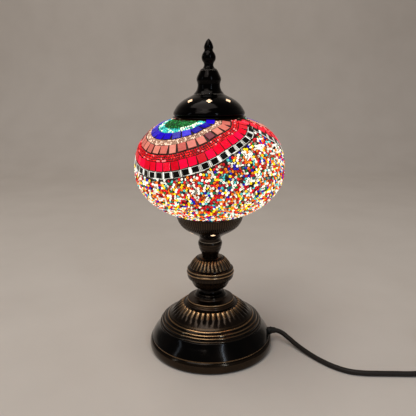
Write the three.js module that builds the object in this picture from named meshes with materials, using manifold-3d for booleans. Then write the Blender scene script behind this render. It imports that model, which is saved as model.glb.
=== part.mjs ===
// A mosaic glass table lamp: a flattened globe of tiles and beads under a pierced metal cap,
// on a turned and fluted metal stem, with its bulb, its mains lead, switch and plug.
// Millimetres, +Z up. Z is the lamp's axis and z = 0 is the table top.
import * as THREE from 'three';
import { mergeVertices } from 'three/addons/utils/BufferGeometryUtils.js';
import Module from 'manifold-3d';

const wasm = await Module();
wasm.setup();

// Driving dimensions.
const GAP = 0.3; // clearance between neighbouring pieces
const SIDES = 28; // facets round the large turned pieces
const SMALL_SIDES = 16; // facets round the small ones
const GLOBE = { r: 82.2, middle: 209.5, above: 60.8, below: 55.1, shoulder: 2.5 };
const MOSAIC_THICK = 2;
const GLASS_THICK = 3;
const GLOBE_STEPS = 7; // profile steps in each half of the globe
const BORE_R = 5.6; // hole for the rod through the stem's pieces
const ROD = { r: 5, bore: 3.4, bottom: 40, top: 149.6 };
const CORD_R = 2.8;
const EXIT = { x: 72, z: 14 }; // where the lead comes out of the base
const COIL = { x: 296, y: -15, inner: 20, outer: 45.2, bottom: 1.2, top: 12.4 };
const SWITCH = { x: 259, y: -76.5, long: 60, wide: 24, split: 8.6, top: 18 };
const ROCKER_TIP = 0.14; // how far the rocker rests tipped, in radians
const PLUG = { x: 338.4, back: 44, front: 78, wide: 26, thick: 13.6, pinApart: 19 };

// Finishes.
const BRONZE = { color: 0x17120e, roughness: 0.3, metalness: 0.9 };
const STEEL = { color: 0x9a9a98, roughness: 0.4, metalness: 1 };
const BRASS = { color: 0xb08a45, roughness: 0.35, metalness: 1 };
const NICKEL = { color: 0xb9b7b0, roughness: 0.25, metalness: 1 };
const GLASS = { color: 0xf2ecdc, roughness: 0.2, metalness: 0 };
const MOSAIC = { color: 0xc8202c, roughness: 0.3, metalness: 0 };
const FELT = { color: 0x24382a, roughness: 1, metalness: 0 };
const BAKELITE = { color: 0x141414, roughness: 0.35, metalness: 0 };
const CERAMIC = { color: 0xe8e4da, roughness: 0.5, metalness: 0 };
const RUBBER = { color: 0x1a1512, roughness: 0.6, metalness: 0 };

const lamp = new THREE.Group();

function place(name, geometry, finish) {
  const mesh = new THREE.Mesh(geometry, new THREE.MeshStandardMaterial(finish));
  mesh.name = name;
  lamp.add(mesh);
  return mesh;
}

// A closed [radius, height] outline, listed anticlockwise, turned about Z.
function turned(outline, sides = SIDES) {
  const points = outline.map(([r, z]) => new THREE.Vector2(r, z));
  if (outline[0][0] > 0) {
    points.push(points[0].clone());
  }
  return new THREE.LatheGeometry(points, sides).rotateX(Math.PI / 2);
}

// A turned piece with the rod's bore: its flat foot and flat top join the given outside.
function bored(outside, sides = SIDES) {
  const foot = outside[0][1];
  const top = outside[outside.length - 1][1];
  return turned([[BORE_R, foot], ...outside, [BORE_R, top]], sides);
}

function disc(r, bottom, top, sides = SMALL_SIDES) {
  return turned([[0, bottom], [r, bottom], [r, top], [0, top]], sides);
}

function ring(inner, outer, bottom, top, sides = SMALL_SIDES) {
  return turned([[inner, bottom], [outer, bottom], [outer, top], [inner, top]], sides);
}

// Solids for cutting holes.
function toSolid(geometry) {
  const bare = geometry.clone();
  bare.deleteAttribute('normal');
  bare.deleteAttribute('uv');
  const merged = mergeVertices(bare, 1e-4);
  const corners = merged.index.array;
  const kept = [];
  for (let i = 0; i < corners.length; i += 3) {
    const [a, b, c] = [corners[i], corners[i + 1], corners[i + 2]];
    if (a !== b && b !== c && c !== a) {
      kept.push(a, b, c);
    }
  }
  const vertProperties = merged.attributes.position.array;
  const triVerts = new Uint32Array(kept);
  return new wasm.Manifold(new wasm.Mesh({ numProp: 3, vertProperties, triVerts }));
}

function toGeometry(solid) {
  const mesh = solid.getMesh();
  const geometry = new THREE.BufferGeometry();
  geometry.setAttribute('position', new THREE.BufferAttribute(mesh.vertProperties, 3));
  geometry.setIndex(new THREE.BufferAttribute(mesh.triVerts, 1));
  geometry.computeVertexNormals();
  return geometry;
}

function cut(geometry, cutters) {
  const left = cutters.reduce((solid, cutter) => solid.subtract(toSolid(cutter)), toSolid(geometry));
  return toGeometry(left);
}

// Four petals round a point, as a cutter: its axis tilts outwards from +Z by the given angle.
function petals(radius, height, turn, tilt, petalR, spread, depth) {
  const cutters = [];
  for (let quarter = 0; quarter < 4; quarter++) {
    const angle = quarter * Math.PI / 2;
    const petal = new THREE.CylinderGeometry(petalR, petalR, depth, 6).rotateX(Math.PI / 2);
    petal.translate(spread * Math.cos(angle), spread * Math.sin(angle), 0);
    petal.rotateY(tilt);
    petal.translate(radius, 0, height);
    petal.rotateZ(turn);
    cutters.push(petal);
  }
  return cutters;
}

function makeBase() {
  place('felt_pad', disc(69.4, 0, 2, SIDES), FELT);
  place('bottom_plate', disc(69.4, 2 + GAP, 3.8, SIDES), STEEL);
  place('weight_disc', ring(16, 38, 4.1, 10.4), STEEL);

  const skirt = turned([
    [69.9, 1], [71.6, 1], [72.3, 3.5], [72.2, 7], [71.4, 10.4], [69.8, 12.9], [69.5, 14.4],
    [67, 18.6], [63.6, 23.6], [60.9, 27.6], [59, 28.5], [58.8, 30.8], [57.2, 33.6], [53.5, 36.2],
    [49.5, 38.8], [47.5, 36.9], [52, 34.2], [55.8, 31], [60.2, 24.2],
    [66.9, 13], [69.9, 8],
  ]);
  const hole = new THREE.CylinderGeometry(4.3, 4.3, 30, 12).rotateZ(Math.PI / 2);
  hole.translate(EXIT.x - 4, 0, EXIT.z);
  place('base_skirt', cut(skirt, [hole]), BRONZE);

  place('base_dome', turned([
    [BORE_R, 51], [20, 51], [28.2, 50.4], [36.6, 45.1], [42.6, 40.8], [47.1, 37.5],
    [49, 39.2], [44, 42.7], [38, 46.9], [32, 51], [29.6, 52.8], [20, 53.2], [BORE_R, 53.2],
  ]), BRONZE);
  place('base_collar', bored([
    [30, 53.5], [30.4, 54.8], [29.3, 56.4], [29.1, 58.5], [27.6, 60.2], [22, 61.9],
  ]), BRONZE);
  place('base_washer', ring(BORE_R, 15, 49.2, 50.7), STEEL);
  place('base_nut', ring(6.3, 9.8, 43.6, 48.9, 6), STEEL);
}

function makeStem() {
  place('threaded_rod', ring(ROD.bore, ROD.r, ROD.bottom, ROD.top, 14), STEEL);
  place('neck_spool', bored([
    [20.6, 62.2], [17, 64.3], [14.4, 66.4], [12.9, 68.4], [12.8, 70.2],
  ], 24), BRONZE);
  place('knob_bowl', turned([
    [BORE_R, 70.5], [14.6, 70.5], [17.9, 73], [19.9, 75.5], [21.3, 78], [22.1, 80.4], [23.4, 82.6],
    [21.2, 82.6], [19.3, 78.4], [15.9, 74.3], [13, 72.7], [BORE_R, 72.7],
  ], 24), BRONZE);
  place('knob_band', turned([
    [22.3, 82.9], [24.9, 82.9], [26.3, 85], [27.2, 88], [27.2, 91], [26.3, 94], [25.2, 96.2],
    [22.3, 96.2],
  ]), BRONZE);
  place('knob_dome', turned([
    [BORE_R, 107.7], [12, 107.5], [18.6, 101.8], [21.9, 96.5],
    [24.2, 96.5], [23.2, 98.8], [21.2, 102.4], [18.2, 105.9], [14.8, 108.5], [12.6, 109.9],
    [BORE_R, 109.9],
  ], 24), BRONZE);
  place('vase_neck', bored([
    [8.6, 110.2], [9.2, 112.6], [10.1, 115], [11.5, 117.4], [12.1, 120], [12.8, 122],
    [13.4, 124.7], [13, 127], [12.2, 128.3],
  ], SMALL_SIDES), BRONZE);
}

function makeCup() {
  const bowl = turned([
    [BORE_R, 128.6], [11.9, 128.6], [11.8, 130.2], [12.4, 132], [14.6, 134.3], [19.2, 136.7],
    [22.9, 139], [27.5, 141.4], [30.1, 143.8], [32.7, 146], [34.5, 148.5], [36.9, 155.5],
    [38.3, 160.4], [37.1, 160.4], [36.9, 158.6], [33.2, 158.6], [33.2, 156.8], [35.2, 156.4],
    [32.9, 149.4], [28.7, 145.1], [21.8, 140.8], [14, 137.2], [BORE_R, 137.2],
  ]);
  const holes = [];
  for (let k = 0; k < 6; k++) {
    const turn = -Math.PI / 2 + 0.15 + k * Math.PI / 3;
    holes.push(...petals(21.6, 138.6, turn, 2.58, 1.55, 1.28, 9));
  }
  place('cup', cut(bowl, holes), BRONZE);
  place('cup_washer', ring(BORE_R, 12, 137.5, 138.7), STEEL);
  place('cup_nut', ring(6.3, 9.8, 139, 143, 6), STEEL);
  place('globe_gasket', ring(33.8, 36.6, 158.9, 161.2, SIDES), RUBBER);
}

function makeHolder() {
  place('holder_base', turned([
    [BORE_R, 143.4], [12.4, 143.4], [14.2, 145.2], [14.2, 153.4], [12.5, 153.4], [12.5, 147.4],
    [BORE_R, 147.4],
  ]), BAKELITE);
  place('holder_body', turned([
    [9, 153.7], [13.8, 153.7], [13.8, 174], [12.6, 176], [12.6, 186], [9, 186],
  ], SMALL_SIDES), BAKELITE);
  place('holder_insulator', ring(3.4, 8.6, 153.7, 157.2), CERAMIC);
  place('holder_screw_shell', ring(7.6, 8.5, 157.5, 184.5), BRASS);
  place('holder_contact', disc(2.6, 155, 160.2, 12), BRASS);
}

function makeBulb() {
  const bulb = { r: 22.5, middle: 216, neck: 190.4, wall: 1 };
  const neckR = 11.5;
  const outer = [];
  const inner = [];
  const steps = 7;
  const lowest = -Math.acos(neckR / bulb.r);
  for (let k = 0; k <= steps; k++) {
    const angle = lowest + (Math.PI / 2 - lowest) * k / steps;
    outer.push([bulb.r * Math.cos(angle), bulb.middle + bulb.r * Math.sin(angle)]);
    const r = bulb.r - bulb.wall;
    inner.push([r * Math.cos(angle), bulb.middle + r * Math.sin(angle)]);
  }
  outer[steps][0] = 0;
  inner[steps][0] = 0;
  const tube = [[neckR - bulb.wall, bulb.neck], [neckR, bulb.neck]];
  const outline = [...inner.reverse(), ...tube, ...outer];
  const points = outline.map(([r, z]) => new THREE.Vector2(r, z));
  const glass = new THREE.LatheGeometry(points, SMALL_SIDES).rotateX(Math.PI / 2);
  place('bulb_glass', glass, GLASS);
  place('bulb_collar', ring(8, 12.4, 186.4, 190.1), CERAMIC);
  const thread = [[5.6, 162.3], [6.2, 162.3]];
  for (let z = 163.2; z < 184; z += 2.8) {
    thread.push([7.1, z], [6.5, z + 1.4]);
  }
  thread.push([6.6, 189.6], [5.6, 189.6]);
  place('bulb_thread', turned(thread, SMALL_SIDES), NICKEL);
  place('bulb_contact', disc(2.2, 160.5, 162.6, 12), NICKEL);
  place('bulb_insulator', ring(2.6, 5.2, 161.2, 164.4, 12), BAKELITE);
}

// A point on the globe's outside, moved in by inset; t runs from -1 at the foot to +1 at the top.
function globePoint(t, inset) {
  const angle = t * Math.PI / 2;
  const power = t > 0 ? 2 / GLOBE.shoulder : 1;
  const rise = (t > 0 ? GLOBE.above : GLOBE.below) - inset;
  const across = (GLOBE.r - inset) * Math.cos(angle) ** power;
  return [across, GLOBE.middle + Math.sign(t) * rise * Math.abs(Math.sin(angle)) ** power];
}

// The height of the globe's skin at a given radius.
function globeHeight(r, inset, top) {
  const power = top ? GLOBE.shoulder : 2;
  const rise = (top ? GLOBE.above : -GLOBE.below) + (top ? -inset : inset);
  return GLOBE.middle + rise * (1 - (r / (GLOBE.r - inset)) ** power) ** (1 / power);
}

// One wall of the globe, from its foot opening to its top opening.
function globeWall(footR, topR, inset) {
  const wall = [[footR, globeHeight(footR, inset, false)]];
  for (let k = -GLOBE_STEPS + 1; k < GLOBE_STEPS; k++) {
    const point = globePoint(k / GLOBE_STEPS, inset);
    const limit = k < 0 ? footR : topR;
    if (point[0] > limit + 1.5) {
      wall.push(point);
    }
  }
  wall.push([topR, globeHeight(topR, inset, true)]);
  return wall;
}

function globeShell(footR, topR, inset, thick) {
  const outside = globeWall(footR, topR, inset);
  const inside = globeWall(footR, topR, inset + thick);
  return turned([...outside, ...inside.reverse()]);
}

function makeGlobe() {
  const glassInset = MOSAIC_THICK + 0.5;
  place('globe_glass', globeShell(33, 33, glassInset, GLASS_THICK), GLASS);
  place('mosaic_shell', globeShell(39.4, 39.8, 0, MOSAIC_THICK), MOSAIC);
}

function makeCap() {
  const dome = turned([
    [31.4, 266.8], [39.2, 266.8], [39.2, 267.8], [36.9, 268.6], [38.5, 271.2], [36.9, 274.8],
    [33.6, 279.7], [27.1, 285.1], [20.6, 288.5], [16, 291], [5.2, 291], [5.2, 289.2],
    [15, 289.2], [25.6, 283.6], [32.2, 278.4], [36.6, 271.2],
    [35, 268.4], [31.4, 268.4],
  ]);
  const holes = [];
  for (let k = 0; k < 8; k++) {
    const turn = -Math.PI / 2 + k * Math.PI / 4;
    holes.push(...petals(27.4, 284.2, turn, 0.62, 1.55, 1.28, 8));
  }
  place('cap_dome', cut(dome, holes), BRONZE);
  place('cap_collar', ring(29.6, 31, 257, 268.3, SIDES), STEEL);
  place('cap_neck', turned([
    [5.2, 291.3], [16, 291.3], [14.5, 293], [13.3, 295], [12.2, 297], [11.8, 301], [13, 305.2],
    [12.7, 307.6], [11, 311.6], [9, 315.4], [5.2, 315.4],
  ], SMALL_SIDES), BRONZE);
  place('cap_bolt', disc(4.8, 284.6, 315.3, 12), STEEL);
  place('cap_nut', ring(6, 9.4, 286, 288.9, 6), STEEL);
  place('finial', turned([
    [0, 315.7], [8.9, 315.7], [6.2, 317.8], [5, 320], [5.1, 322], [7, 325.2], [7.5, 328],
    [7, 330.8], [5.4, 333.6], [4.5, 335.7], [4.9, 338], [4.3, 341], [2.6, 344.6], [0.8, 346.8],
    [0, 347],
  ], SMALL_SIDES), BRONZE);
}

// A round tube along a list of [x, y, z] points, cut square at both ends.
function tube(route, radius, sides, steps) {
  const path = new THREE.CatmullRomCurve3(route.map((p) => new THREE.Vector3(...p)));
  const section = new THREE.Shape();
  for (let k = 0; k < sides; k++) {
    const angle = k / sides * 2 * Math.PI;
    const corner = [radius * Math.cos(angle), radius * Math.sin(angle)];
    k === 0 ? section.moveTo(...corner) : section.lineTo(...corner);
  }
  section.closePath();
  return new THREE.ExtrudeGeometry(section, { steps, extrudePath: path, bevelEnabled: false });
}

// The lead's stretches that aren't coiled, as points chosen by hand.
const INNER_LEAD = [
  [61.7, 0, 14], [52, 0, 14], [38, 0, 14], [25, 0, 14.2], [14.8, 0, 17], [6.8, 0, 22.6],
  [1.7, 0, 31], [0, 0, 40], [0, 0, 60], [0, 0, 100], [0, 0, 146],
];
const LEAD_TO_SWITCH = [
  [62, 0, 14], [70, 0, 14], [77, -0.1, 14], [84.4, -2.6, 12.4], [92, -9, 8.6], [99, -17.8, 5.6],
  [106, -27.8, 3.9], [114, -39.2, 3], [123, -51, 2.8], [134, -62.2, 2.8], [146, -70, 2.8],
  [159, -73.6, 2.8], [174, -74.8, 2.8], [195, -75.6, 2.8], [208, -76.2, 2.8], [216, -76.4, 3.2],
  [222, -76.5, 4.4], [228.5, -76.5, 5],
];
const SWITCH_TO_COIL = [
  [289.4, -76.5, 5], [292.5, -76.5, 5], [302.6, -74.7, 4.8], [311.5, -69.5, 4.4],
  [318, -61.5, 4.1], [321.6, -55.3, 4],
];
const COIL_TO_PLUG = [[338.4, 7.2, 8.6], [338.4, 12, 7.8], [338.4, 17, 7], [338.4, 21.7, 6.8]];

function makeLead() {
  const relief = turned([
    [3.2, 0], [4, 0], [4, 14.4], [4.8, 14.6], [4.8, 16], [4.2, 16.4], [3.5, 20], [3.2, 20],
  ], 12);
  relief.rotateY(Math.PI / 2);
  relief.translate(EXIT.x - 14.5, 0, EXIT.z);
  place('strain_relief', relief, RUBBER);
  place('inner_lead', tube(INNER_LEAD, CORD_R, 8, 30), RUBBER);
  const clamp = new THREE.BoxGeometry(10, 14, 14).translate(47, 0, 11.2);
  const way = new THREE.CylinderGeometry(3.3, 3.3, 20, 12).rotateZ(Math.PI / 2);
  place('lead_clamp', cut(clamp, [way.translate(47, 0, EXIT.z)]), BAKELITE);

  place('mains_lead', tube(LEAD_TO_SWITCH, CORD_R, 8, 44), RUBBER);
  place('lead_to_coil', tube(SWITCH_TO_COIL, CORD_R, 8, 10), RUBBER);
  place('lead_to_plug', tube(COIL_TO_PLUG, CORD_R, 8, 3), RUBBER);
  const round = 3;
  const coil = turned([
    [COIL.inner + round, COIL.bottom], [COIL.outer - round, COIL.bottom],
    [COIL.outer, COIL.bottom + round], [COIL.outer, COIL.top - round],
    [COIL.outer - round, COIL.top], [COIL.inner + round, COIL.top],
    [COIL.inner, COIL.top - round], [COIL.inner, COIL.bottom + round],
  ]);
  place('cord_coil', coil.translate(COIL.x, COIL.y, 0), RUBBER);

  const strap = { wall: 0.9, wide: 8, slack: 0.9 };
  const insideLong = COIL.outer - COIL.inner + 2 * strap.slack;
  const insideHigh = COIL.top - COIL.bottom + 2 * GAP;
  const x = COIL.x - (COIL.outer + COIL.inner) / 2;
  const z = (COIL.top + COIL.bottom) / 2;
  const size = [insideLong + 2 * strap.wall, strap.wide, insideHigh + 2 * strap.wall];
  const band = new THREE.BoxGeometry(...size).translate(x, COIL.y, z);
  const inside = new THREE.BoxGeometry(insideLong, 20, insideHigh).translate(x, COIL.y, z);
  place('coil_tie', cut(band, [inside]), RUBBER);
}

// A flat block with rounded corners in plan, standing on z = bottom.
function roundedBlock(long, wide, corner, bottom, top) {
  const [a, b] = [long / 2 - corner, wide / 2 - corner];
  const plan = new THREE.Shape();
  plan.absarc(a, b, corner, 0, Math.PI / 2);
  plan.absarc(-a, b, corner, Math.PI / 2, Math.PI);
  plan.absarc(-a, -b, corner, Math.PI, 1.5 * Math.PI);
  plan.absarc(a, -b, corner, 1.5 * Math.PI, 2 * Math.PI);
  plan.closePath();
  const depth = top - bottom;
  return new THREE.ExtrudeGeometry(plan, { depth, bevelEnabled: false, curveSegments: 4 })
    .translate(0, 0, bottom);
}

function makeSwitch() {
  const wall = 2;
  const inside = [SWITCH.long - 2 * wall, SWITCH.wide - 2 * wall, 6];
  const middle = [SWITCH.x, SWITCH.y, 0];
  const base = cut(
    roundedBlock(SWITCH.long, SWITCH.wide, 8, 0, SWITCH.split),
    [roundedBlock(...inside, wall, SWITCH.split + 1)],
  );
  place('switch_base', base.translate(...middle), BAKELITE);
  const window = new THREE.BoxGeometry(17.2, 11.4, 8).translate(0, 0, SWITCH.top);
  const cover = cut(
    roundedBlock(SWITCH.long, SWITCH.wide, 8, SWITCH.split + GAP, SWITCH.top),
    [roundedBlock(...inside, SWITCH.split - 1, SWITCH.top - wall), window],
  );
  place('switch_cover', cover.translate(...middle), BAKELITE);

  // The rocker rests tipped to on; it turns about a pin along Y.
  const pivot = 14.6;
  const side = new THREE.Shape([
    new THREE.Vector2(-7.6, -1.5), new THREE.Vector2(0, -4), new THREE.Vector2(7.6, -1.5),
    new THREE.Vector2(7.8, 5.2), new THREE.Vector2(0, 4), new THREE.Vector2(-7.8, 5.2),
  ]);
  const key = new THREE.ExtrudeGeometry(side, { depth: 10, bevelEnabled: false });
  const bore = new THREE.CylinderGeometry(1.5, 1.5, 14, 10);
  key.translate(0, 0, -5).rotateX(Math.PI / 2);
  const tipped = cut(key, [bore]).rotateY(ROCKER_TIP);
  place('switch_rocker', tipped.translate(SWITCH.x, SWITCH.y, pivot), BAKELITE);
  const pin = new THREE.CylinderGeometry(1.1, 1.1, 17.4, 10);
  place('rocker_pin', pin.translate(SWITCH.x, SWITCH.y, pivot), STEEL);
  for (const [name, offset] of [['switch_contact_in', -16], ['switch_contact_out', 16]]) {
    const tag = new THREE.BoxGeometry(8, 6, 4).translate(offset, 0, 4.4);
    place(name, tag.translate(...middle), BRASS);
  }
}

function makePlug() {
  const body = roundedBlock(PLUG.wide, PLUG.thick, 5.5, -PLUG.front, -PLUG.back);
  body.rotateX(Math.PI / 2);
  place('plug_body', body.translate(PLUG.x, 0, PLUG.thick / 2), BAKELITE);
  const relief = turned([[0, 0], [3.6, 0], [5.2, 21.5], [0, 21.5]], 12).rotateX(-Math.PI / 2);
  place('plug_relief', relief.translate(PLUG.x, PLUG.back - 21.8, PLUG.thick / 2), RUBBER);
  for (const [name, side] of [['plug_pin_left', -1], ['plug_pin_right', 1]]) {
    const pin = new THREE.CylinderGeometry(2, 2, 19, 12);
    pin.translate(PLUG.x + side * PLUG.pinApart / 2, PLUG.front + GAP + 9.5, PLUG.thick / 2);
    place(name, pin, NICKEL);
  }
}

makeBase();
makeStem();
makeCup();
makeHolder();
makeBulb();
makeGlobe();
makeCap();
makeLead();
makeSwitch();
makePlug();

export default lamp;
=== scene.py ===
# %% [markdown]
# # A mosaic glass table lamp
#
# A blown glass globe carries a skin of cut glass and seed beads. It stands in a fluted cup on a
# turned stem, and a small pierced cap closes it. The solid model sets every size, so this lesson
# starts by loading it, and every piece made here is fitted around it. Lengths are written in
# millimetres, as a maker would measure them, and turned into metres when a mesh is built.

# %% Load the solid model
import math

import bpy
import numpy as np
from mathutils import Euler, Matrix, Vector
from mathutils.kdtree import KDTree


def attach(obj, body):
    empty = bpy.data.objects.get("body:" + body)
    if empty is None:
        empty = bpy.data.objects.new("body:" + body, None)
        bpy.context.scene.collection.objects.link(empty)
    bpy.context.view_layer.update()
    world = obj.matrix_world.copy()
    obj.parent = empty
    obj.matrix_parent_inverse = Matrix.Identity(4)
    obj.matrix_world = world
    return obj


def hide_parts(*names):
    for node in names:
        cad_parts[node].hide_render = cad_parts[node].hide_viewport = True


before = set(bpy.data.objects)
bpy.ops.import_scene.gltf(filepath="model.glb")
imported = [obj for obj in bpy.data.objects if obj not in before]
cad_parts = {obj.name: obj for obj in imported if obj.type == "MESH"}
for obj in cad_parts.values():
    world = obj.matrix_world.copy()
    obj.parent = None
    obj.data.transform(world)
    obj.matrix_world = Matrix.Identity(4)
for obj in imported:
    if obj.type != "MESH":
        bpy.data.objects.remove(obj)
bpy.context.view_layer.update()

MM = 0.001
scene = bpy.context.scene

# %% [markdown]
# ## The camera
#
# A lamp like this is seen from a chair or across a table, a little above its globe, so that the
# shoulder of the base and the pattern on top of the globe both show. A camera half a metre away
# with a slightly short lens gives that view.

# %% Put the camera in front
CAMERA_PLACE = (-0.0021, -0.525, 0.2966)
CAMERA_PITCH = math.radians(76.04)
CAMERA_ROLL = math.radians(-0.5)
FOCAL_LENGTH = 41.54
lens = bpy.data.cameras.new("camera")
lens.lens = FOCAL_LENGTH
camera = bpy.data.objects.new("camera", lens)
camera.location = CAMERA_PLACE
turn = Matrix.Rotation(CAMERA_PITCH, 3, "X") @ Matrix.Rotation(CAMERA_ROLL, 3, "Z")
camera.rotation_euler = turn.to_euler()
scene.collection.objects.link(camera)
scene.camera = camera
print("camera", CAMERA_PLACE, "pitched down", round(90 - math.degrees(CAMERA_PITCH), 1), "degrees")

# %% [markdown]
# ## Smooth lines through a few points
#
# A wood or metal turner marks only the places where a profile changes and lets the tool flow
# between them. `flow` does the same: it draws a smooth line through a few points, in two or three
# dimensions, and its bends never swing wide of the points.

# %% A line that flows through points
def flow(points, step=1.0):
    marks = np.array(points, float)
    ends = np.vstack([2 * marks[0] - marks[1], marks, 2 * marks[-1] - marks[-2]])
    stretches = []
    for a, b, c, d in zip(ends, ends[1:], ends[2:], ends[3:]):
        before, here, after = (max(np.linalg.norm(v), 1e-6) ** 0.5 for v in (b - a, c - b, d - c))
        leave = here * ((b - a) / before - (c - a) / (before + here) + (c - b) / here)
        reach = here * ((c - b) / here - (d - b) / (here + after) + (d - c) / after)
        count = max(2, math.ceil(np.linalg.norm(c - b) / step))
        t = (np.arange(count) / count)[:, None]
        stretches.append(
            (2 * t**3 - 3 * t**2 + 1) * b
            + (t**3 - 2 * t**2 + t) * leave
            + (3 * t**2 - 2 * t**3) * c
            + (t**3 - t**2) * reach
        )
    return np.vstack(stretches + [marks[-1:]])


print("a bend of 3 points becomes", len(flow([(0, 0), (5, 1), (6, 6)])), "points")

# %% [markdown]
# ## The mains lead
#
# The lead leaves the side of the base, droops to the table, runs through a small rocker switch
# and ends in a flat two-pin plug. A length of 1.8 metres is usual for a table lamp. What isn't
# needed is wound into a coil of seven turns in two layers, as it comes out of the box. The
# whole lead is one curve, so its length can be measured, and it is made first, because its
# place decides how much room the model takes.

# %% The lead's route, in millimetres
CORD_R = 2.8
BASE_TO_SWITCH = [
    (62, 0, 14), (70, 0, 14), (77, -0.1, 14), (84.4, -2.6, 12.4), (92, -9, 8.6), (99, -17.8, 5.6),
    (106, -27.8, 3.9), (114, -39.2, 3), (123, -51, 2.8), (134, -62.2, 2.8), (146, -70, 2.8),
    (159, -73.6, 2.8), (174, -74.8, 2.8), (195, -75.6, 2.8), (208, -76.2, 2.8), (216, -76.4, 3.2),
    (222, -76.5, 4.4), (228.5, -76.5, 5),
]
THROUGH_SWITCH = [(244, -76.5, 5), (259, -76.5, 5), (274, -76.5, 5)]
SWITCH_TO_COIL = [
    (289.4, -76.5, 5), (296, -76.1, 4.9), (302.6, -74.7, 4.8), (311.5, -69.5, 4.4),
    (318, -61.5, 4.1), (323.4, -52.3, 4), (328, -44.3, 4),
]
COIL_TO_PLUG = [
    (338.4, -4, 9.4), (338.4, 7.2, 8.6), (338.4, 12, 7.8), (338.4, 17, 7), (338.4, 21.7, 6.8),
]
print("the lead lies", CORD_R, "mm above the table, which is half its thickness")

# %% The coil: in along the bottom layer, up one thickness, and out along the top layer
COIL_PLACE = (296, -15)
COIL_OUTER = 42.4
LAYER_TURN = 1245
CLIMB_TURN = 60
START_TURN = 30
COIL_POINTS = 120
BOTTOM_Z, TOP_Z = 4.0, 9.6


def coil_point(turned_by):
    per_degree = 2 * CORD_R / 360
    inner = COIL_OUTER - LAYER_TURN * per_degree
    if turned_by < LAYER_TURN:
        radius, z = COIL_OUTER - turned_by * per_degree, BOTTOM_Z
    elif turned_by < LAYER_TURN + CLIMB_TURN:
        share = (turned_by - LAYER_TURN) / CLIMB_TURN
        radius = inner
        z = BOTTOM_Z + (TOP_Z - BOTTOM_Z) * (1 - math.cos(math.pi * share)) / 2
    else:
        radius, z = inner + (turned_by - LAYER_TURN - CLIMB_TURN) * per_degree, TOP_Z
    angle = math.radians(turned_by - START_TURN)
    return (COIL_PLACE[0] + radius * math.cos(angle), COIL_PLACE[1] + radius * math.sin(angle), z)


whole_turn = 2 * LAYER_TURN + CLIMB_TURN
coil = [coil_point(turned_by) for turned_by in np.linspace(0, whole_turn, COIL_POINTS)]
route = BASE_TO_SWITCH + THROUGH_SWITCH + SWITCH_TO_COIL + coil + COIL_TO_PLUG
print("coil points", len(coil), "and other points", len(route) - len(coil))

# %% The lead as one round curve
line = bpy.data.curves.new("mains_cord", "CURVE")
line.dimensions = "3D"
spline = line.splines.new("BEZIER")
spline.bezier_points.add(len(route) - 1)
for knot, place in zip(spline.bezier_points, route):
    knot.co = Vector(place) * MM
    knot.handle_left_type = knot.handle_right_type = "AUTO"
spline.resolution_u = 4
line.bevel_depth = CORD_R * MM
line.bevel_resolution = 5
line.use_fill_caps = True
mains_cord = bpy.data.objects.new("mains_cord", line)
scene.collection.objects.link(mains_cord)
print("lead length", round(spline.calc_length(), 3), "m")

# %% [markdown]
# ## Procedural finishes
#
# Each finish is a small set of nodes. A number that is the same all over is typed into the
# shader itself, and only what changes over the surface comes from nodes. `Finish` keeps that
# short: it makes a Principled material and adds noise, ramps and bumps to it.

# %% A helper for building finishes
class Finish:
    def __init__(self, name, **values):
        self.material = bpy.data.materials.new(name)
        self.material.use_nodes = True
        self.nodes = self.material.node_tree.nodes
        self.shader = self.nodes["Principled BSDF"]
        for socket, value in values.items():
            wanted = self.shader.inputs[socket.replace("_", " ")]
            wanted.default_value = (*value, 1) if isinstance(value, tuple) else value

    def wire(self, start, end):
        self.material.node_tree.links.new(start, end)

    def node(self, kind, **settings):
        made = self.nodes.new("ShaderNode" + kind)
        for setting, value in settings.items():
            setattr(made, setting, value)
        return made

    def noise(self, scale, detail, stretch=(1, 1, 1)):
        place = self.node("TexCoord")
        mapping = self.node("Mapping")
        mapping.inputs["Scale"].default_value = stretch
        self.wire(place.outputs["Object"], mapping.inputs["Vector"])
        texture = self.node("TexNoise")
        texture.inputs["Scale"].default_value = scale
        texture.inputs["Detail"].default_value = detail
        self.wire(mapping.outputs[0], texture.inputs["Vector"])
        return texture.outputs["Fac"]

    def reading(self, attribute):
        return self.node("Attribute", attribute_name=attribute).outputs["Fac"]

    def ramp(self, source, stops):
        made = self.node("ValToRGB")
        elements = made.color_ramp.elements
        while len(elements) < len(stops):
            elements.new(0.5)
        for element, (place, colour) in zip(elements, stops):
            element.position = place
            element.color = (*colour, 1) if isinstance(colour, tuple) else (colour,) * 3 + (1,)
        self.wire(source, made.inputs["Fac"])
        return made.outputs["Color"]

    def maths(self, operation, a, b):
        made = self.node("Math", operation=operation)
        for socket, value in zip(made.inputs, (a, b)):
            if isinstance(value, (int, float)):
                socket.default_value = value
            else:
                self.wire(value, socket)
        return made.outputs[0]

    def feed(self, socket, source):
        self.wire(source, self.shader.inputs[socket])

    def bump(self, source, depth, strength):
        made = self.node("Bump")
        made.inputs["Distance"].default_value = depth * MM
        made.inputs["Strength"].default_value = strength
        self.wire(source, made.inputs["Height"])
        self.wire(made.outputs["Normal"], self.shader.inputs["Normal"])


print("finishes start from the Principled shader")

# %% [markdown]
# ## The floor and the light
#
# The lamp stands on a plain pale floor that curves up behind it, lit softly from above and from
# high in front. Two tall narrow lights stand to the right and left: a dark polished metal shows
# mostly what it reflects, and the strips draw the bright upright lines on the base. They hang
# clear of the floor, so no bright edge shows there from the side.

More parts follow.
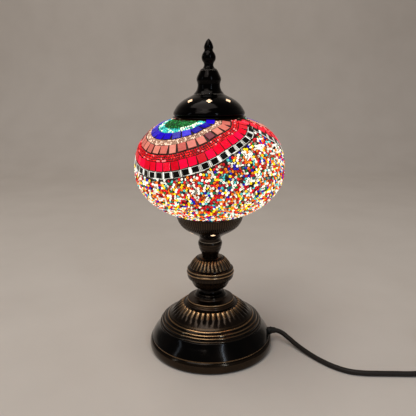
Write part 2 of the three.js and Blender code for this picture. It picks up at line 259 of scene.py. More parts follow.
# %% A pale floor that curves up at the back
floor_finish = Finish("pale_floor", Roughness=0.75)
floor_finish.feed("Base Color", floor_finish.ramp(
    floor_finish.noise(9, 4), [(0.3, (0.66, 0.605, 0.555)), (0.7, (0.70, 0.645, 0.595))]))
FLOOR_WIDE, FLOOR_FRONT, FLOOR_BACK, BEND, WALL_HIGH = 6.0, -3.0, 1.1, 0.5, 3.0
BEND_STEPS = 17
bend = [(FLOOR_BACK + BEND * math.sin(a), BEND * (1 - math.cos(a)))
        for a in np.linspace(0, math.pi / 2, BEND_STEPS)]
floor_line = [(FLOOR_FRONT, 0.0)] + bend + [(FLOOR_BACK + BEND, WALL_HIGH)]
floor_points = [(side * FLOOR_WIDE / 2, y, z) for y, z in floor_line for side in (-1, 1)]
floor_faces = [(2 * k, 2 * k + 1, 2 * k + 3, 2 * k + 2) for k in range(len(floor_line) - 1)]
floor_mesh = bpy.data.meshes.new("floor")
floor_mesh.from_pydata(floor_points, [], floor_faces)
floor_mesh.shade_smooth()
floor_mesh.materials.append(floor_finish.material)
floor = bpy.data.objects.new("floor", floor_mesh)
scene.collection.objects.link(floor)
print("floor reaches", FLOOR_BACK + BEND, "m behind the lamp")

# %% Soft studio lights
def studio_light(name, place, aim, size, watts, colour):
    lamp = bpy.data.lights.new(name, "AREA")
    lamp.shape = "RECTANGLE"
    lamp.size, lamp.size_y = size
    lamp.energy = watts
    lamp.color = colour
    stand = bpy.data.objects.new(name, lamp)
    stand.location = place
    stand.rotation_euler = (Vector(aim) - Vector(place)).to_track_quat("-Z", "Y").to_euler()
    scene.collection.objects.link(stand)


STEM, BASE = (0, 0, 0.15), (0, 0, 0.05)
studio_light("overhead", (-0.3, -0.2, 1.9), STEM, (1.6, 1.2), 16, (1, 0.95, 0.88))
studio_light("front_high", (-0.8, -1.3, 2.0), STEM, (1.3, 0.9), 7, (1, 0.96, 0.9))
studio_light("strip_right", (0.5, -1.1, 0.68), BASE, (0.06, 0.9), 1.9, (0.62, 0.8, 1))
studio_light("strip_left", (-1.2, -0.5, 0.68), BASE, (0.08, 0.9), 0.6, (0.7, 0.85, 1))
room = bpy.data.worlds.new("room")
room.use_nodes = True
air = room.node_tree.nodes["Background"].inputs
air["Color"].default_value = (0.62, 0.56, 0.52, 1)
air["Strength"].default_value = 0.24
scene.world = room
scene.view_settings.view_transform = "Standard"

# %% [markdown]
# ## Turning metal
#
# The foot, stem, cup and cap are spun and cast in brass, then fitted together on one threaded
# rod. On a lathe a piece is fully known by its outline, so each one here is an outline swept
# round the lamp's axis. `swell` pushes the outside in or out as it goes round, which carves
# the flutes, and a share kept on each point says where hands and polishing have rubbed the
# black back to gold. On the skirt that share also holds a painted highlight, brightest at the front.

# %% Make one piece from points and faces
SMOOTH_BELOW = 38


def make_piece(name, points, faces, finish, body, slot, stands_for=(), wear_and_highlight=None,
               crease=SMOOTH_BELOW):
    mesh = bpy.data.meshes.new(name)
    mesh.from_pydata((np.asarray(points) * MM).tolist(), [], faces)
    mesh.materials.append(finish)
    mesh.shade_smooth()
    mesh.set_sharp_from_angle(angle=math.radians(crease))
    piece = bpy.data.objects.new(name, mesh)
    scene.collection.objects.link(piece)
    if wear_and_highlight is not None:
        set_gold_wear_and_highlight(piece, wear_and_highlight)
    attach(piece, body)
    if stands_for:
        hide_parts(*stands_for)
    print(f"{name}: {len(mesh.vertices)} points, {len(mesh.polygons)} faces")
    return piece


# Stores the gold share on each point: rubbed wear, and on the skirt also a painted highlight.
def set_gold_wear_and_highlight(piece, wear_and_highlight):
    mesh = piece.data
    co = np.empty(len(mesh.vertices) * 3)
    mesh.vertices.foreach_get("co", co)
    x, y, z = co.reshape(-1, 3).T / MM
    share = np.clip(wear_and_highlight(np.arctan2(x, -y), np.hypot(x, y), z), 0, 1)
    if "wear_and_highlight" not in mesh.attributes:
        mesh.attributes.new("wear_and_highlight", "FLOAT", "POINT")
    mesh.attributes["wear_and_highlight"].data.foreach_set("value", share.astype(np.float32))


print("edges sharper than", SMOOTH_BELOW, "degrees stay crisp")

# %% Sweep an outline round the axis
def ring_walls(rings, count, closed=False):
    pairs = [(i, (i + 1) % rings) for i in range(rings if closed else rings - 1)]
    return [(a * count + j, a * count + (j + 1) % count, b * count + (j + 1) % count, b * count + j)
            for a, b in pairs for j in range(count)]


def turned(outside, inside, sides, swell=None):
    outer = np.array(outside, float)
    line = np.vstack([outer, np.array(inside, float)])
    count = len(outer)
    run = np.gradient(outer, axis=0)
    length = np.maximum(np.hypot(*run.T), 1e-9)
    push_r, push_z = run[:, 1] / length, -run[:, 0] / length
    theta = np.linspace(0, 2 * math.pi, sides, endpoint=False)[None, :]
    r = np.repeat(line[:, :1], sides, 1)
    z = np.repeat(line[:, 1:], sides, 1)
    if swell is not None:
        height = swell(theta, r[:count], z[:count])
        r[:count] += height * push_r[:, None]
        z[:count] += height * push_z[:, None]
    points = np.stack([r * np.sin(theta), -r * np.cos(theta), z], -1).reshape(-1, 3)
    return points, ring_walls(len(line), sides, closed=True)


print("a plain washer:", len(turned([(5, 0), (5, 1)], [(3, 1), (3, 0)], 32)[1]), "faces")

# %% Soft steps and ring lines, used to place flutes and rubbed edges
def rises(value, start, end):
    share = np.clip((value - start) / (end - start), 0, 1)
    return share * share * (3 - 2 * share)


def lines(z, heights, width, strength):
    return strength * sum(np.exp(-(((z - height) / width) ** 2)) for height in heights)


def lobes(theta, count, roundness=0.7):
    return np.abs(np.sin(theta * count / 2)) ** roundness


print("a soft step half way up:", rises(0.5, 0, 1))

# %% [markdown]
# ## Blackened bronze
#
# The metal is plated, blackened in a bath and lacquered. Raised edges are rubbed back, so they
# shine gold, and broad surfaces keep a brown cast with a faint satin grain. One function makes
# the family: how brown, how gold and how rough are the only differences between its members.

# %% The family of black and brown metals
BLACK = (0.006, 0.0052, 0.005)
BROWN = (0.044, 0.028, 0.018)
HALF_BROWN = tuple(0.5 * (a + b) for a, b in zip(BLACK, BROWN))
GOLD = (0.62, 0.39, 0.20)


def blackened(name, brown, smooth, rough, coat=0.15):
    metal = Finish(name, Metallic=1.0, Coat_Weight=coat, Coat_Roughness=0.1)
    cloud = metal.noise(55, 4)
    grain = metal.noise(900, 2)
    wear_and_highlight = metal.reading("wear_and_highlight")
    depth = metal.maths("ADD", metal.maths("MULTIPLY", cloud, 0.7), brown - 0.35)
    tint = metal.ramp(depth, [(0.0, BLACK), (0.45, HALF_BROWN), (0.9, BROWN)])
    patches = metal.maths("ADD", metal.maths("MULTIPLY", grain, 0.6), 0.62)
    gold = metal.ramp(metal.maths("MULTIPLY", wear_and_highlight, patches), [(0.05, 0.0), (0.8, 1.0)])
    mix = metal.node("Mix", data_type="RGBA")
    metal.wire(gold, mix.inputs["Factor"])
    metal.wire(tint, mix.inputs["A"])
    mix.inputs["B"].default_value = (*GOLD, 1)
    metal.feed("Base Color", mix.outputs["Result"])
    metal.feed("Roughness", metal.ramp(cloud, [(0.3, smooth), (0.75, rough)]))
    metal.bump(grain, 0.05, 0.6)
    return metal.material


BLACK_GLOSS = blackened("black_gloss", 0.05, 0.12, 0.18)
CAP_BLACK = blackened("cap_black", -0.2, 0.1, 0.16, 0.04)
BROWN_SATIN = blackened("brown_satin", 1.05, 0.26, 0.38)
DARK_SATIN = blackened("dark_satin", 0.4, 0.2, 0.32)
print("metals:", [metal.name for metal in (BLACK_GLOSS, CAP_BLACK, BROWN_SATIN, DARK_SATIN)])

# %% Bare brass inside the cup and cap, with a painted glow that stands in for the bulb's light
painted_glow_finish = Finish("brass_painted_glow", Metallic=0.6, Emission_Color=(1.0, 0.82, 0.62), Emission_Strength=0.85)
warmth = painted_glow_finish.noise(120, 3)
painted_glow_finish.feed("Base Color", painted_glow_finish.ramp(warmth, [(0.3, (0.62, 0.40, 0.18)), (0.7, (0.85, 0.62, 0.34))]))
painted_glow_finish.feed("Roughness", painted_glow_finish.ramp(warmth, [(0.3, 0.3), (0.7, 0.45)]))
PAINTED_GLOW_BRASS = painted_glow_finish.material
print("inside:", PAINTED_GLOW_BRASS.name)

# %% [markdown]
# ## The foot's skirt
#
# The skirt is spun from sheet. A rounded roll stands on the table, a bright thin groove parts it
# from the tall glossy side, and a stack of narrow steps leads up to the dome. The stepped lines
# are what the eye reads first, so each has its own few points in the outline.

# %% The skirt's outline
ROLL = [(69.9, 1), (71.5, 1.1), (72.3, 3.6), (72.3, 7), (71.6, 10.2), (70.3, 12.2)]
GROOVE = [(69.5, 12.6), (69.3, 13.1), (69.6, 13.7), (69.4, 14.4)]
SIDE = [(69.1, 14.9), (67.3, 18.2), (64.6, 22.2), (62.0, 25.8), (60.5, 28.2), (60.0, 29.4)]
STEP_1 = [(59.5, 29.7), (59.6, 30.8), (58.9, 31.6)]
STEP_2 = [(57.9, 32.0), (57.6, 33.2), (57.2, 34.1), (56.2, 34.7)]
STEP_3 = [(55.1, 34.9), (54.7, 35.6), (54.2, 36.4), (53.2, 36.9)]
LIP = [(52.1, 37.1), (50.9, 37.9), (50.3, 38.6), (49.4, 39.0)]
skirt_parts = (ROLL, GROOVE, SIDE, STEP_1, STEP_2, STEP_3, LIP)
skirt_line = np.vstack([flow(part, 0.7) for part in skirt_parts])
skirt_inside = [(47.6, 37.0), (52, 34.2), (55.8, 31), (60.2, 24.2), (66.9, 13), (69.2, 8), (69.2, 1)]
print("skirt outline", len(skirt_line), "points")

# %% Spin the skirt, with gold rubbed along its steps and a painted highlight that makes it brightest at the front
STEP_LINES = ((38.7, 0.8), (36.3, 0.65), (34.1, 0.45))


def skirt_wear_and_front_highlight(theta, _, z):
    # Painted highlight: the gold lines are made brighter towards the front, which faces the camera.
    front = 0.62 + 0.38 * np.cos(theta)
    groove = lines(z, (13.3,), 0.45, 0.95)
    steps = sum(lines(z, (height,), 0.4, share) for height, share in STEP_LINES)
    roll = 0.09 * (1 - rises(z, 11.6, 12.4))
    return (groove + steps) * front + lines(z, (31.2,), 0.4, 0.16) + roll


make_piece("foot_skirt", *turned(skirt_line, skirt_inside, 192), BLACK_GLOSS, "base", "bronze",
           ["base_skirt"], skirt_wear_and_front_highlight)

# %% [markdown]
# ## The gadrooned dome
#
# Above the skirt sits a cast dome with thirty-six gadroons, which are rounded flutes that swell
# towards the stem. Each one starts wide and low on the outside and ends in a round tip near the
# collar, and the tips are rubbed to gold.

# %% The dome and its gadroons
GADROONS = 36
DOME = [(49.0, 39.3), (47.6, 40.5), (46, 41.8), (44, 43.4), (41, 45.6), (38, 47.9), (35, 50.2),
        (32.6, 52.2), (31.2, 53.0), (29.8, 53.3), (20, 53.4), (5.6, 53.4)]
DOME_INSIDE = [(5.6, 51), (20, 51), (28.2, 50.4), (36.6, 45.1), (42.6, 40.8), (47.1, 37.5)]


def gadroon_height(theta, r):
    tip = rises(r, 30.9 + 0.9 * (1 - lobes(theta, GADROONS, 1.0)), 32.9)
    fade = 1 - rises(r, 39.0, 47.5)
    return lobes(theta, GADROONS, 0.75) * tip * fade


def dome_swell(theta, r, _):
    return 1.25 * gadroon_height(theta, r) - 0.25


def dome_worn(theta, r, _):
    crest = rises(gadroon_height(theta, r), 0.25, 0.9)
    near_tip = 1 - 0.8 * rises(r, 32.4, 37.0)
    fading = 1 - rises(r, 37.0, 42.0)
    foot_edge = rises(r, 46.0, 47.0) * (1 - rises(r, 47.8, 48.8))
    return 0.95 * crest * near_tip * fading + 0.09 * foot_edge


make_piece("foot_dome", *turned(flow(DOME, 0.6), DOME_INSIDE, 360, dome_swell), DARK_SATIN, "base",
           "bronze", ["base_dome"], dome_worn)

# %% [markdown]
# ## Collar and neck
#
# A dished collar covers the nut that clamps the foot. Its edge is a thin bright ring, and its
# broad top is brown and nearly smooth. The neck above it is a small spool with one bead.

# %% The collar and the spool
COLLAR = [(29.6, 53.6), (29.5, 54.2), (28.9, 55.0), (28.2, 55.5)]
COLLAR_RING = [(27.9, 55.6), (28.1, 56.1), (27.6, 56.7), (26.9, 57.0)]
COLLAR_TOP = [(26.6, 57.2), (27.1, 57.8), (26.9, 58.6), (26.0, 59.0), (24.2, 59.3), (21.6, 59.8),
              (19.4, 60.6), (18.7, 61.9)]
collar_line = [flow(part, 0.45) for part in (COLLAR, COLLAR_RING, COLLAR_TOP)] + [[(5.6, 61.9)]]


def collar_worn(_, r, z):
    bright_ring = lines(z, (58.2,), 0.5, 0.85) * rises(r, 26.0, 26.8)
    return bright_ring + lines(z, (56.0,), 0.4, 0.2) * rises(r, 27.3, 27.9)


make_piece("foot_collar", *turned(np.vstack(collar_line), [(5.6, 53.6)], 144), BROWN_SATIN, "base",
           "bronze", ["base_collar"], collar_worn)
SPOOL = [(18.5, 62.2), (18.2, 63.2), (17.0, 64.2), (16.2, 64.9), (16.5, 65.7), (15.6, 66.5),
         (13.7, 67.4), (12.9, 68.6), (12.8, 70.2)]
make_piece("neck_foot", *turned(np.vstack([flow(SPOOL, 0.5), [(5.6, 70.2)]]), [(5.6, 62.2)], 120),
           BLACK_GLOSS, "base", "bronze", ["neck_spool"],
           lambda _, r, z: lines(z, (65.6, 62.8), 0.5, 0.12))

# %% [markdown]
# ## The knob
#
# The knob is the stem's ornament: a bowl with faint ribs below, a band with two raised lines
# near its top edge, and a domed top with thirty round-ended flutes under a smooth ring.

# %% The bowl under the knob
BOWL = [(13.8, 70.5), (16.2, 72.2), (19.2, 74.6), (20.8, 77.2), (22.0, 80.2), (23.2, 82.6)]
BOWL_INSIDE = [(21.2, 82.6), (19.3, 78.4), (15.6, 74.6), (12.4, 73.0), (5.6, 72.9)]
bowl_line = np.vstack([[(5.6, 70.5)], flow(BOWL, 0.7)])
FINE_RIBS, RIB_DEPTH = 48, 0.22


def bowl_swell(theta, _, z):
    return RIB_DEPTH * lobes(theta, FINE_RIBS) * rises(z, 72.5, 75) * (1 - rises(z, 80, 82))


def bowl_worn(theta, _, z):
    return 0.1 * lobes(theta, FINE_RIBS, 3) * rises(z, 73, 76)


make_piece("knob_lower", *turned(bowl_line, BOWL_INSIDE, 240, bowl_swell), DARK_SATIN, "base", "bronze",
           ["knob_bowl"], bowl_worn)

# %% The ribbed band with its two bright lines
BAND = [(22.3, 82.9), (24.6, 83.1), (25.9, 84.6), (26.5, 86.8), (26.7, 89.2)]
BAND_RINGS = [(26.7, 89.7), (27.3, 90.4), (27.5, 91.4), (26.9, 92.3), (26.4, 92.9), (26.4, 93.6),
              (26.8, 94.3), (26.6, 95.3), (25.6, 96.0)]
BAND_TOP = [(24.9, 96.3), (24.2, 96.6), (22.3, 96.6)]
band_line = np.vstack([flow(part, 0.45) for part in (BAND, BAND_RINGS, BAND_TOP)])


def band_rib(theta, z):
    return lobes(theta, FINE_RIBS) * rises(z, 83.5, 85.0) * (1 - rises(z, 88.0, 89.4))


def band_swell(theta, _, z):
    return RIB_DEPTH * band_rib(theta, z)


def band_worn(theta, r, z):
    bright_lines = lines(z, (91.4, 94.9), 0.6, 0.85) * rises(r, 25.8, 26.6)
    return bright_lines + 0.08 * rises(band_rib(theta, z), 0.5, 1.0)


make_piece("knob_ring", *turned(band_line, [(21.0, 95.8), (21.0, 83.6)], 240, band_swell), DARK_SATIN,
           "base", "bronze", ["knob_band"], band_worn)

# %% The fluted top
KNOB_FLUTES = 30
KNOB_TOP = [(23.9, 96.8), (23.3, 98.2), (21.9, 100.6), (20.2, 103.0), (18.2, 105.4), (16.2, 107.2),
            (14.6, 108.4), (13.6, 109.3), (12.4, 109.9), (5.6, 109.9)]
KNOB_INSIDE = [(5.6, 107.7), (12, 107.5), (18.0, 101.8), (21.4, 96.8)]


def knob_flute(theta, z):
    return lobes(theta, KNOB_FLUTES, 0.75) * rises(z, 97.0, 98.2) * (1 - rises(z, 107.2, 108.6))


def knob_swell(theta, _, z):
    return 0.9 * knob_flute(theta, z) - 0.3 * rises(z, 97, 98)


def knob_worn(theta, _, z):
    crest = rises(knob_flute(theta, z), 0.4, 1.0) * (0.35 + 0.45 * rises(z, 103.0, 107.0))
    return crest + 0.2 * rises(z, 108.6, 109.4)


make_piece("knob_upper", *turned(flow(KNOB_TOP, 0.5), KNOB_INSIDE, 300, knob_swell), DARK_SATIN, "base",
           "bronze", ["knob_dome"], knob_worn)

# %% [markdown]
# ## The vase-shaped neck
#
# Between the knob and the cup the stem narrows to a small vase. It is plain, with only a faint
# turned line round its belly, so the light slides along it in one long streak.

# %% Turn the neck
VASE = [(9.1, 110.2), (9.4, 111.6), (10.3, 114.0), (11.6, 116.6), (12.6, 119.2), (12.9, 120.5)]
VASE_TOP = [(12.8, 120.9), (13.1, 121.7), (13.7, 123.8), (13.8, 125.6), (13.4, 127.3), (12.8, 128.3)]
vase_line = np.vstack([flow(VASE, 0.7), flow(VASE_TOP, 0.5), [(5.6, 128.3)]])
make_piece("stem_vase", *turned(vase_line, [(5.6, 110.2)], 120), DARK_SATIN, "base", "bronze",
           ["vase_neck"], lambda _, r, z: lines(z, (121.6, 124.7), 0.8, 0.1))

# %% [markdown]
# ## Piercing sheet metal
#
# The cup and the cap are pierced with small four-petalled holes, which let out light and warm
# air. On the real lamp a punch cuts them. Here each hole is a cutter with the same rounded
# outline, pushed through the sheet and subtracted from it.

# %% A punch with four round petals
PETAL_POINTS = 40


def punch(places, size, depth):
    points, faces, count = [], [], PETAL_POINTS
    for theta, r, z, tilt in places:
        flat = math.cos(tilt)
        out = Vector((math.sin(theta) * flat, -math.cos(theta) * flat, math.sin(tilt)))
        side = Vector((math.cos(theta), math.sin(theta), 0))
        up = out.cross(side)
        centre = Vector((r * math.sin(theta), -r * math.cos(theta), z))
        near = len(points)
        far = near + count
        for level in (-depth, depth):
            for angle in np.linspace(0, 2 * math.pi, count, endpoint=False):
                reach = size * (0.62 + 0.38 * abs(math.cos(2 * angle)) ** 0.8)
                petal = reach * (side * math.cos(angle) + up * math.sin(angle))
                points.append(centre + out * level + petal)
        faces.append(tuple(range(far - 1, near - 1, -1)))
        faces.append(tuple(range(far, far + count)))
        for k in range(count):
            after = (k + 1) % count
            faces.append((near + k, near + after, far + after, far + k))
    mesh = bpy.data.meshes.new("punch")
    mesh.from_pydata([tuple(p * MM) for p in points], [], faces)
    # The punch carries the brass with the painted glow, and the cut hands it on to each hole's wall.
    mesh.materials.append(PAINTED_GLOW_BRASS)
    tool = bpy.data.objects.new("punch", mesh)
    scene.collection.objects.link(tool)
    return tool


print("a punch has", PETAL_POINTS, "points round its outline")

# %% Turn some faces to brass with the painted glow, and push a punch through a piece
def paint_glow_inside(piece, first_face, end_face=None):
    piece.data.materials.append(PAINTED_GLOW_BRASS)
    for face in piece.data.polygons[first_face:end_face]:
        face.material_index = 1


def pierce(piece, tool, wear_and_highlight=None):
    cut = piece.modifiers.new("cut", "BOOLEAN")
    cut.operation, cut.object, cut.solver = "DIFFERENCE", tool, "EXACT"
    cut.material_mode = "TRANSFER"
    view = bpy.context.evaluated_depsgraph_get()
    made = bpy.data.meshes.new_from_object(piece.evaluated_get(view), depsgraph=view)
    piece.modifiers.clear()
    piece.data = made
    bpy.data.objects.remove(tool)
    made.set_sharp_from_angle(angle=math.radians(SMOOTH_BELOW))
    if wear_and_highlight is not None:
        set_gold_wear_and_highlight(piece, wear_and_highlight)
    print(piece.name, "pierced,", len(made.polygons), "faces")


print("ready to pierce the cup and the cap")

# %% [markdown]
# ## The cup
#
# The cup carries the globe. Its upper half is fluted with fine upright ribs, its lower half is
# smooth and pierced with six holes, and a flat ledge inside holds a soft ring for the glass to
# rest on. The inside is bare brass with a painted glow that stands in for the bulb's light.

# %% The cup's outline and ribs
CUP_RIBS = 90
CUP = [(12.5, 128.6), (12.3, 130.2), (12.5, 132), (13.9, 134.2), (17.4, 136.7), (21.6, 139.1),
       (25.9, 141.6), (29.3, 144.0), (32.0, 146.5), (34.2, 149.4), (35.9, 152.4), (37.1, 156.2),
       (37.9, 159.0), (38.4, 159.9), (38.2, 160.4)]
CUP_INSIDE = [(37.1, 160.4), (36.9, 158.6), (33.2, 158.6), (33.2, 156.8), (35.2, 156.4),
              (34.0, 151.6), (32.6, 148.4), (30.4, 146.2), (26, 143.4), (20, 140.2), (14, 137.1),
              (11, 134.4), (5.6, 133.6), (5.6, 128.6)]


def cup_rib(theta, z):
    return lobes(theta, CUP_RIBS, 0.8) * rises(z, 145.0, 147.0) * (1 - rises(z, 158.4, 159.4))


def cup_swell(theta, _, z):
    return 0.35 * cup_rib(theta, z) - 0.25 * rises(z, 145, 147) * (1 - rises(z, 158.4, 159.4))


def cup_worn(theta, r, z):
    outside = rises(r, 30, 31)
    return outside * (0.13 * rises(cup_rib(theta, z), 0.5, 1.0) + lines(z, (160,), 0.4, 0.15))


print("the cup has", CUP_RIBS, "ribs")

# %% Turn the cup and pierce it
CUP_SIDES, CUP_LEDGE_ROWS = 540, 3
cup_line = flow(CUP, 0.8)
cup = make_piece("fluted_cup", *turned(cup_line, CUP_INSIDE, CUP_SIDES, cup_swell), DARK_SATIN, "base",
                 "bronze", ["cup"], cup_worn)
paint_glow_inside(cup, (len(cup_line) + CUP_LEDGE_ROWS) * CUP_SIDES)
CUP_HOLES = [(0.12 + k * math.pi / 3, 25.6, 141.4, math.radians(-57)) for k in range(6)]
pierce(cup, punch(CUP_HOLES, 2.9, 6), cup_worn)

# %% [markdown]
# ## The cap and its finial
#
# The cap is a small spun dome with a rolled lip, pierced with eight more of the same holes. A
# waisted neck and a stacked finial end the lamp in a point. All of it is glossy black, and the
# lip mirrors the colours of the globe beneath it. Inside, only the dome is bare brass with the
# painted glow: the lip stays black, so no bright line shows under the cap.

# %% The pierced dome
CAP = [(38.6, 266.8), (39.3, 267.0), (39.3, 267.6), (38.4, 268.1), (37.4, 268.5)]
CAP_RISE = [(37.5, 269.0), (38.3, 269.9), (38.5, 271.2), (38.0, 273.0), (36.8, 275.0),
            (34.9, 278.1), (31.6, 281.8), (27.1, 285.1), (22.8, 287.5), (18.8, 289.4), (16.0, 291.0)]
CAP_INSIDE = [(5.2, 291), (5.2, 289.2), (15, 289.2), (25.6, 283.6), (32.2, 278.4), (36.2, 271.8),
              (35, 268.4), (31.4, 268.2), (31.4, 266.8)]
cap_line = np.vstack([flow(CAP, 0.4), flow(CAP_RISE, 0.8)])
CAP_SIDES = 192
FIRST_DOME_ROW, LAST_DOME_ROW = len(cap_line) + 1, len(cap_line) + 5
cap = make_piece("cap_shell", *turned(cap_line, CAP_INSIDE, CAP_SIDES), CAP_BLACK, "cap", "bronze",
                 ["cap_dome"])
paint_glow_inside(cap, FIRST_DOME_ROW * CAP_SIDES, LAST_DOME_ROW * CAP_SIDES)
CAP_HOLES = [(k * math.pi / 4, 27.4, 284.2, math.radians(55)) for k in range(8)]
pierce(cap, punch(CAP_HOLES, 3.0, 5))

# %% The waisted neck and the finial
CAP_NECK = [(16.0, 291.3), (15.6, 292.0), (14.5, 293.2), (13.2, 295.1), (12.3, 297.6), (11.9, 300.6),
            (12.3, 303.2), (13.0, 305.4), (12.8, 307.6), (11.9, 310.0), (10.6, 312.6), (9.2, 315.4)]
neck_line = np.vstack([[(5.2, 291.3)], flow(CAP_NECK, 0.7), [(5.2, 315.4)]])
make_piece("cap_waist", *turned(neck_line, [(5.0, 313), (5.0, 294)], 120), CAP_BLACK, "cap", "bronze",
           ["cap_neck"])
FINIAL = [(8.9, 315.7), (8.6, 316.4), (6.5, 317.6), (5.2, 319.4), (4.9, 321.2), (5.5, 323.0),
          (6.9, 325.2), (7.5, 327.8), (7.2, 330.2), (6.1, 332.6), (4.8, 334.6), (4.4, 335.9),
          (4.9, 337.6), (4.8, 339.4), (3.9, 342.0), (2.6, 344.4), (1.3, 346.1), (0.35, 346.9),
          (0.06, 347)]
finial_line = np.vstack([[(0.06, 315.7)], flow(FINIAL, 0.5)])
make_piece("top_finial", *turned(finial_line, [(0.03, 331)], 96), CAP_BLACK, "cap", "bronze", ["finial"])

# %% [markdown]
# ## The globe's surface
#
# Everything on the globe is placed by two numbers: the angle round it, where zero faces the
# front, and the distance down the glass from its top rim. One table of the globe's outline,
# by that distance, turns the pair into a place in space and a set of directions there.

# %% The outline of the globe, measured along the glass
GLOBE_R, GLOBE_MIDDLE, GLOBE_ABOVE, GLOBE_BELOW, SHOULDER = 82.2, 209.5, 60.8, 55.1, 2.5
TOP_RIM, FOOT_RIM = 39.4, 39.6


def globe_outline(inset=0.0, count=1201):
    angle = np.linspace(math.pi / 2, -math.pi / 2, count)
    power = np.where(angle > 0, 2 / SHOULDER, 1.0)
    r = (GLOBE_R - inset) * np.cos(angle) ** power
    rise = np.where(angle > 0, GLOBE_ABOVE, GLOBE_BELOW) - inset
    z = GLOBE_MIDDLE + np.sign(angle) * rise * np.abs(np.sin(angle)) ** power
    return r, z, angle


line_r, line_z, line_angle = globe_outline()
shown = np.where(line_angle > 0, line_r > TOP_RIM, line_r > FOOT_RIM)
line_r, line_z = line_r[shown], line_z[shown]
line_s = np.concatenate([[0], np.cumsum(np.hypot(np.diff(line_r), np.diff(line_z)))])
line_out_r = -np.gradient(line_z, line_s)
line_out_z = np.gradient(line_r, line_s)
GLASS_LONG = float(line_s[-1])
print("from rim to rim along the glass:", round(GLASS_LONG, 1), "mm")

# %% From angle and distance to a place and its directions
def radius_at(s):
    return np.interp(s, line_s, line_r)


def on_globe(theta, s, proud=0.0):
    out_r, out_z = np.interp(s, line_s, line_out_r), np.interp(s, line_s, line_out_z)
    r = radius_at(s) + proud * out_r
    z = np.interp(s, line_s, line_z) + proud * out_z
    place = np.stack([r * np.sin(theta), -r * np.cos(theta), z + 0 * theta], -1)
    out = np.stack([out_r * np.sin(theta), -out_r * np.cos(theta), out_z + 0 * theta], -1)
    east = np.stack([np.cos(theta), np.sin(theta), 0 * theta], -1)
    return place, east, np.cross(out, east), out


print("widest place:", np.round(on_globe(np.array([0.0]), np.array([75.0]))[0][0], 1))

# %% [markdown]
# ## Clear glass and plaster
#
# Under the mosaic is a plain blown globe, ground at both rims. The mosaic is glued on, and the
# gaps are filled with dark plaster, which makes the lit glass look brighter than it is.

# %% Finishes for the blown glass and the plaster
# Both finishes carry a faint painted glow standing in for the bulb's light: warm on the glass, dim red on
# the plaster.
blown = Finish("blown_glass", Base_Color=(0.42, 0.38, 0.31), Emission_Color=(1.0, 0.80, 0.52),
               Emission_Strength=0.16, IOR=1.5)
frost = blown.noise(420, 3)
blown.feed("Roughness", blown.ramp(frost, [(0.35, 0.22), (0.65, 0.42)]))
blown.bump(frost, 0.04, 0.5)
plaster = Finish("dark_plaster", Emission_Color=(0.30, 0.10, 0.04), Emission_Strength=0.05)
crumb = plaster.noise(520, 4)
PLASTER_DARK, PLASTER_LIGHT = (0.010, 0.007, 0.006), (0.034, 0.022, 0.016)
plaster.feed("Base Color", plaster.ramp(crumb, [(0.35, PLASTER_DARK), (0.7, PLASTER_LIGHT)]))
plaster.feed("Roughness", plaster.ramp(crumb, [(0.3, 0.6), (0.7, 0.85)]))
plaster.bump(crumb, 0.25, 0.8)
print("glass and plaster mixed")

# %% Blow the globe and spread the plaster
SHELL_ROWS = 161


def globe_shell(name, inset, wall, finish, slot, stands_for, top_r, foot_r):
    skins = []
    for depth in (inset, inset + wall):
        r, z, angle = globe_outline(depth, SHELL_ROWS)
        keep = np.where(angle > 0, r > top_r, r > foot_r)
        skins.append(np.stack([r[keep], z[keep]], 1))
    outer, inner = skins[0][::-1], skins[1]
    return make_piece(name, *turned(outer, inner, 144), finish, "globe", slot, stands_for)


globe_shell("blown_globe", 2.5, 2.9, blown.material, "glass", ["globe_glass"], 33.5, 33.0)
PLASTER = plaster.material
globe_shell("plaster_skin", 1.35, 0.8, PLASTER, "mosaic", ["mosaic_shell"], 34.0, 36.0)

# %% [markdown]
# ## Drawing the pattern
#
# The pattern is two sweeping lobes, each half way round the globe. A row of mirror tiles edges
# each lobe, and the other bands follow inside it at an even distance, like ripples. So only the
# mirror row's lower edge is drawn. Every other band comes from moving that line inwards
# a little at a time, which is also how the maker glues it, one row against the last.

# %% The edge of a lobe, in degrees and millimetres, and lines inside it
LOBE_LEFT, LOBE_RIGHT = -134.0, 46.0
LOBE_EDGE = [
    (-134, 24), (-128.8, 30.3), (-122.5, 37.7), (-112.7, 45), (-101, 53.5), (-90, 61), (-78, 67.5),
    (-66.3, 71.8), (-51.9, 75.4), (-38, 75.6), (-24.4, 73.4), (-13.7, 69.2), (-3, 64.2), (6.3, 58.1),
    (15, 50.8), (25.3, 43.4), (34.9, 36.3), (46, 25),
]
edge_line = flow(LOBE_EDGE, 0.8)


def edge_height(theta_degrees):
    within = (theta_degrees - LOBE_LEFT) % 180 + LOBE_LEFT
    return np.interp(within, edge_line[:, 0], edge_line[:, 1])


def run_along(theta, s, r):
    return np.concatenate([[0], np.cumsum(np.hypot(np.diff(theta) * r, np.diff(s)))])


def inner_lines(depths, march=0.5):
    theta, s = np.radians(edge_line[:, 0]), edge_line[:, 1].copy()
    found, depth = {}, 0.0
    for wanted in sorted(depths):
        while depth < wanted - 1e-9:
            move = min(march, wanted - depth)
            run_x = np.gradient(theta) * radius_at(s)
            run_y = np.gradient(s)
            size = np.hypot(run_x, run_y)
            theta = theta + move * run_y / size / radius_at(s)
            s = s - move * run_x / size
            spacing = run_along(theta, s, radius_at(s[1:]))
            even = np.linspace(0, spacing[-1], len(theta))
            theta, s = np.interp(even, spacing, theta), np.interp(even, spacing, s)
            depth += move
        found[wanted] = (theta, s)
    return found


print("lobe edge", len(edge_line), "points; lowest at", round(float(edge_line[:, 1].max()), 1), "mm")

# %% Walk along a line at an even pitch, in both lobes
RUN_OUT, RUN_OUT_STEPS, GLANCE, LOBE_GAP, RIM_GAP = 26.0, 12, 0.4, 1.6, 0.8


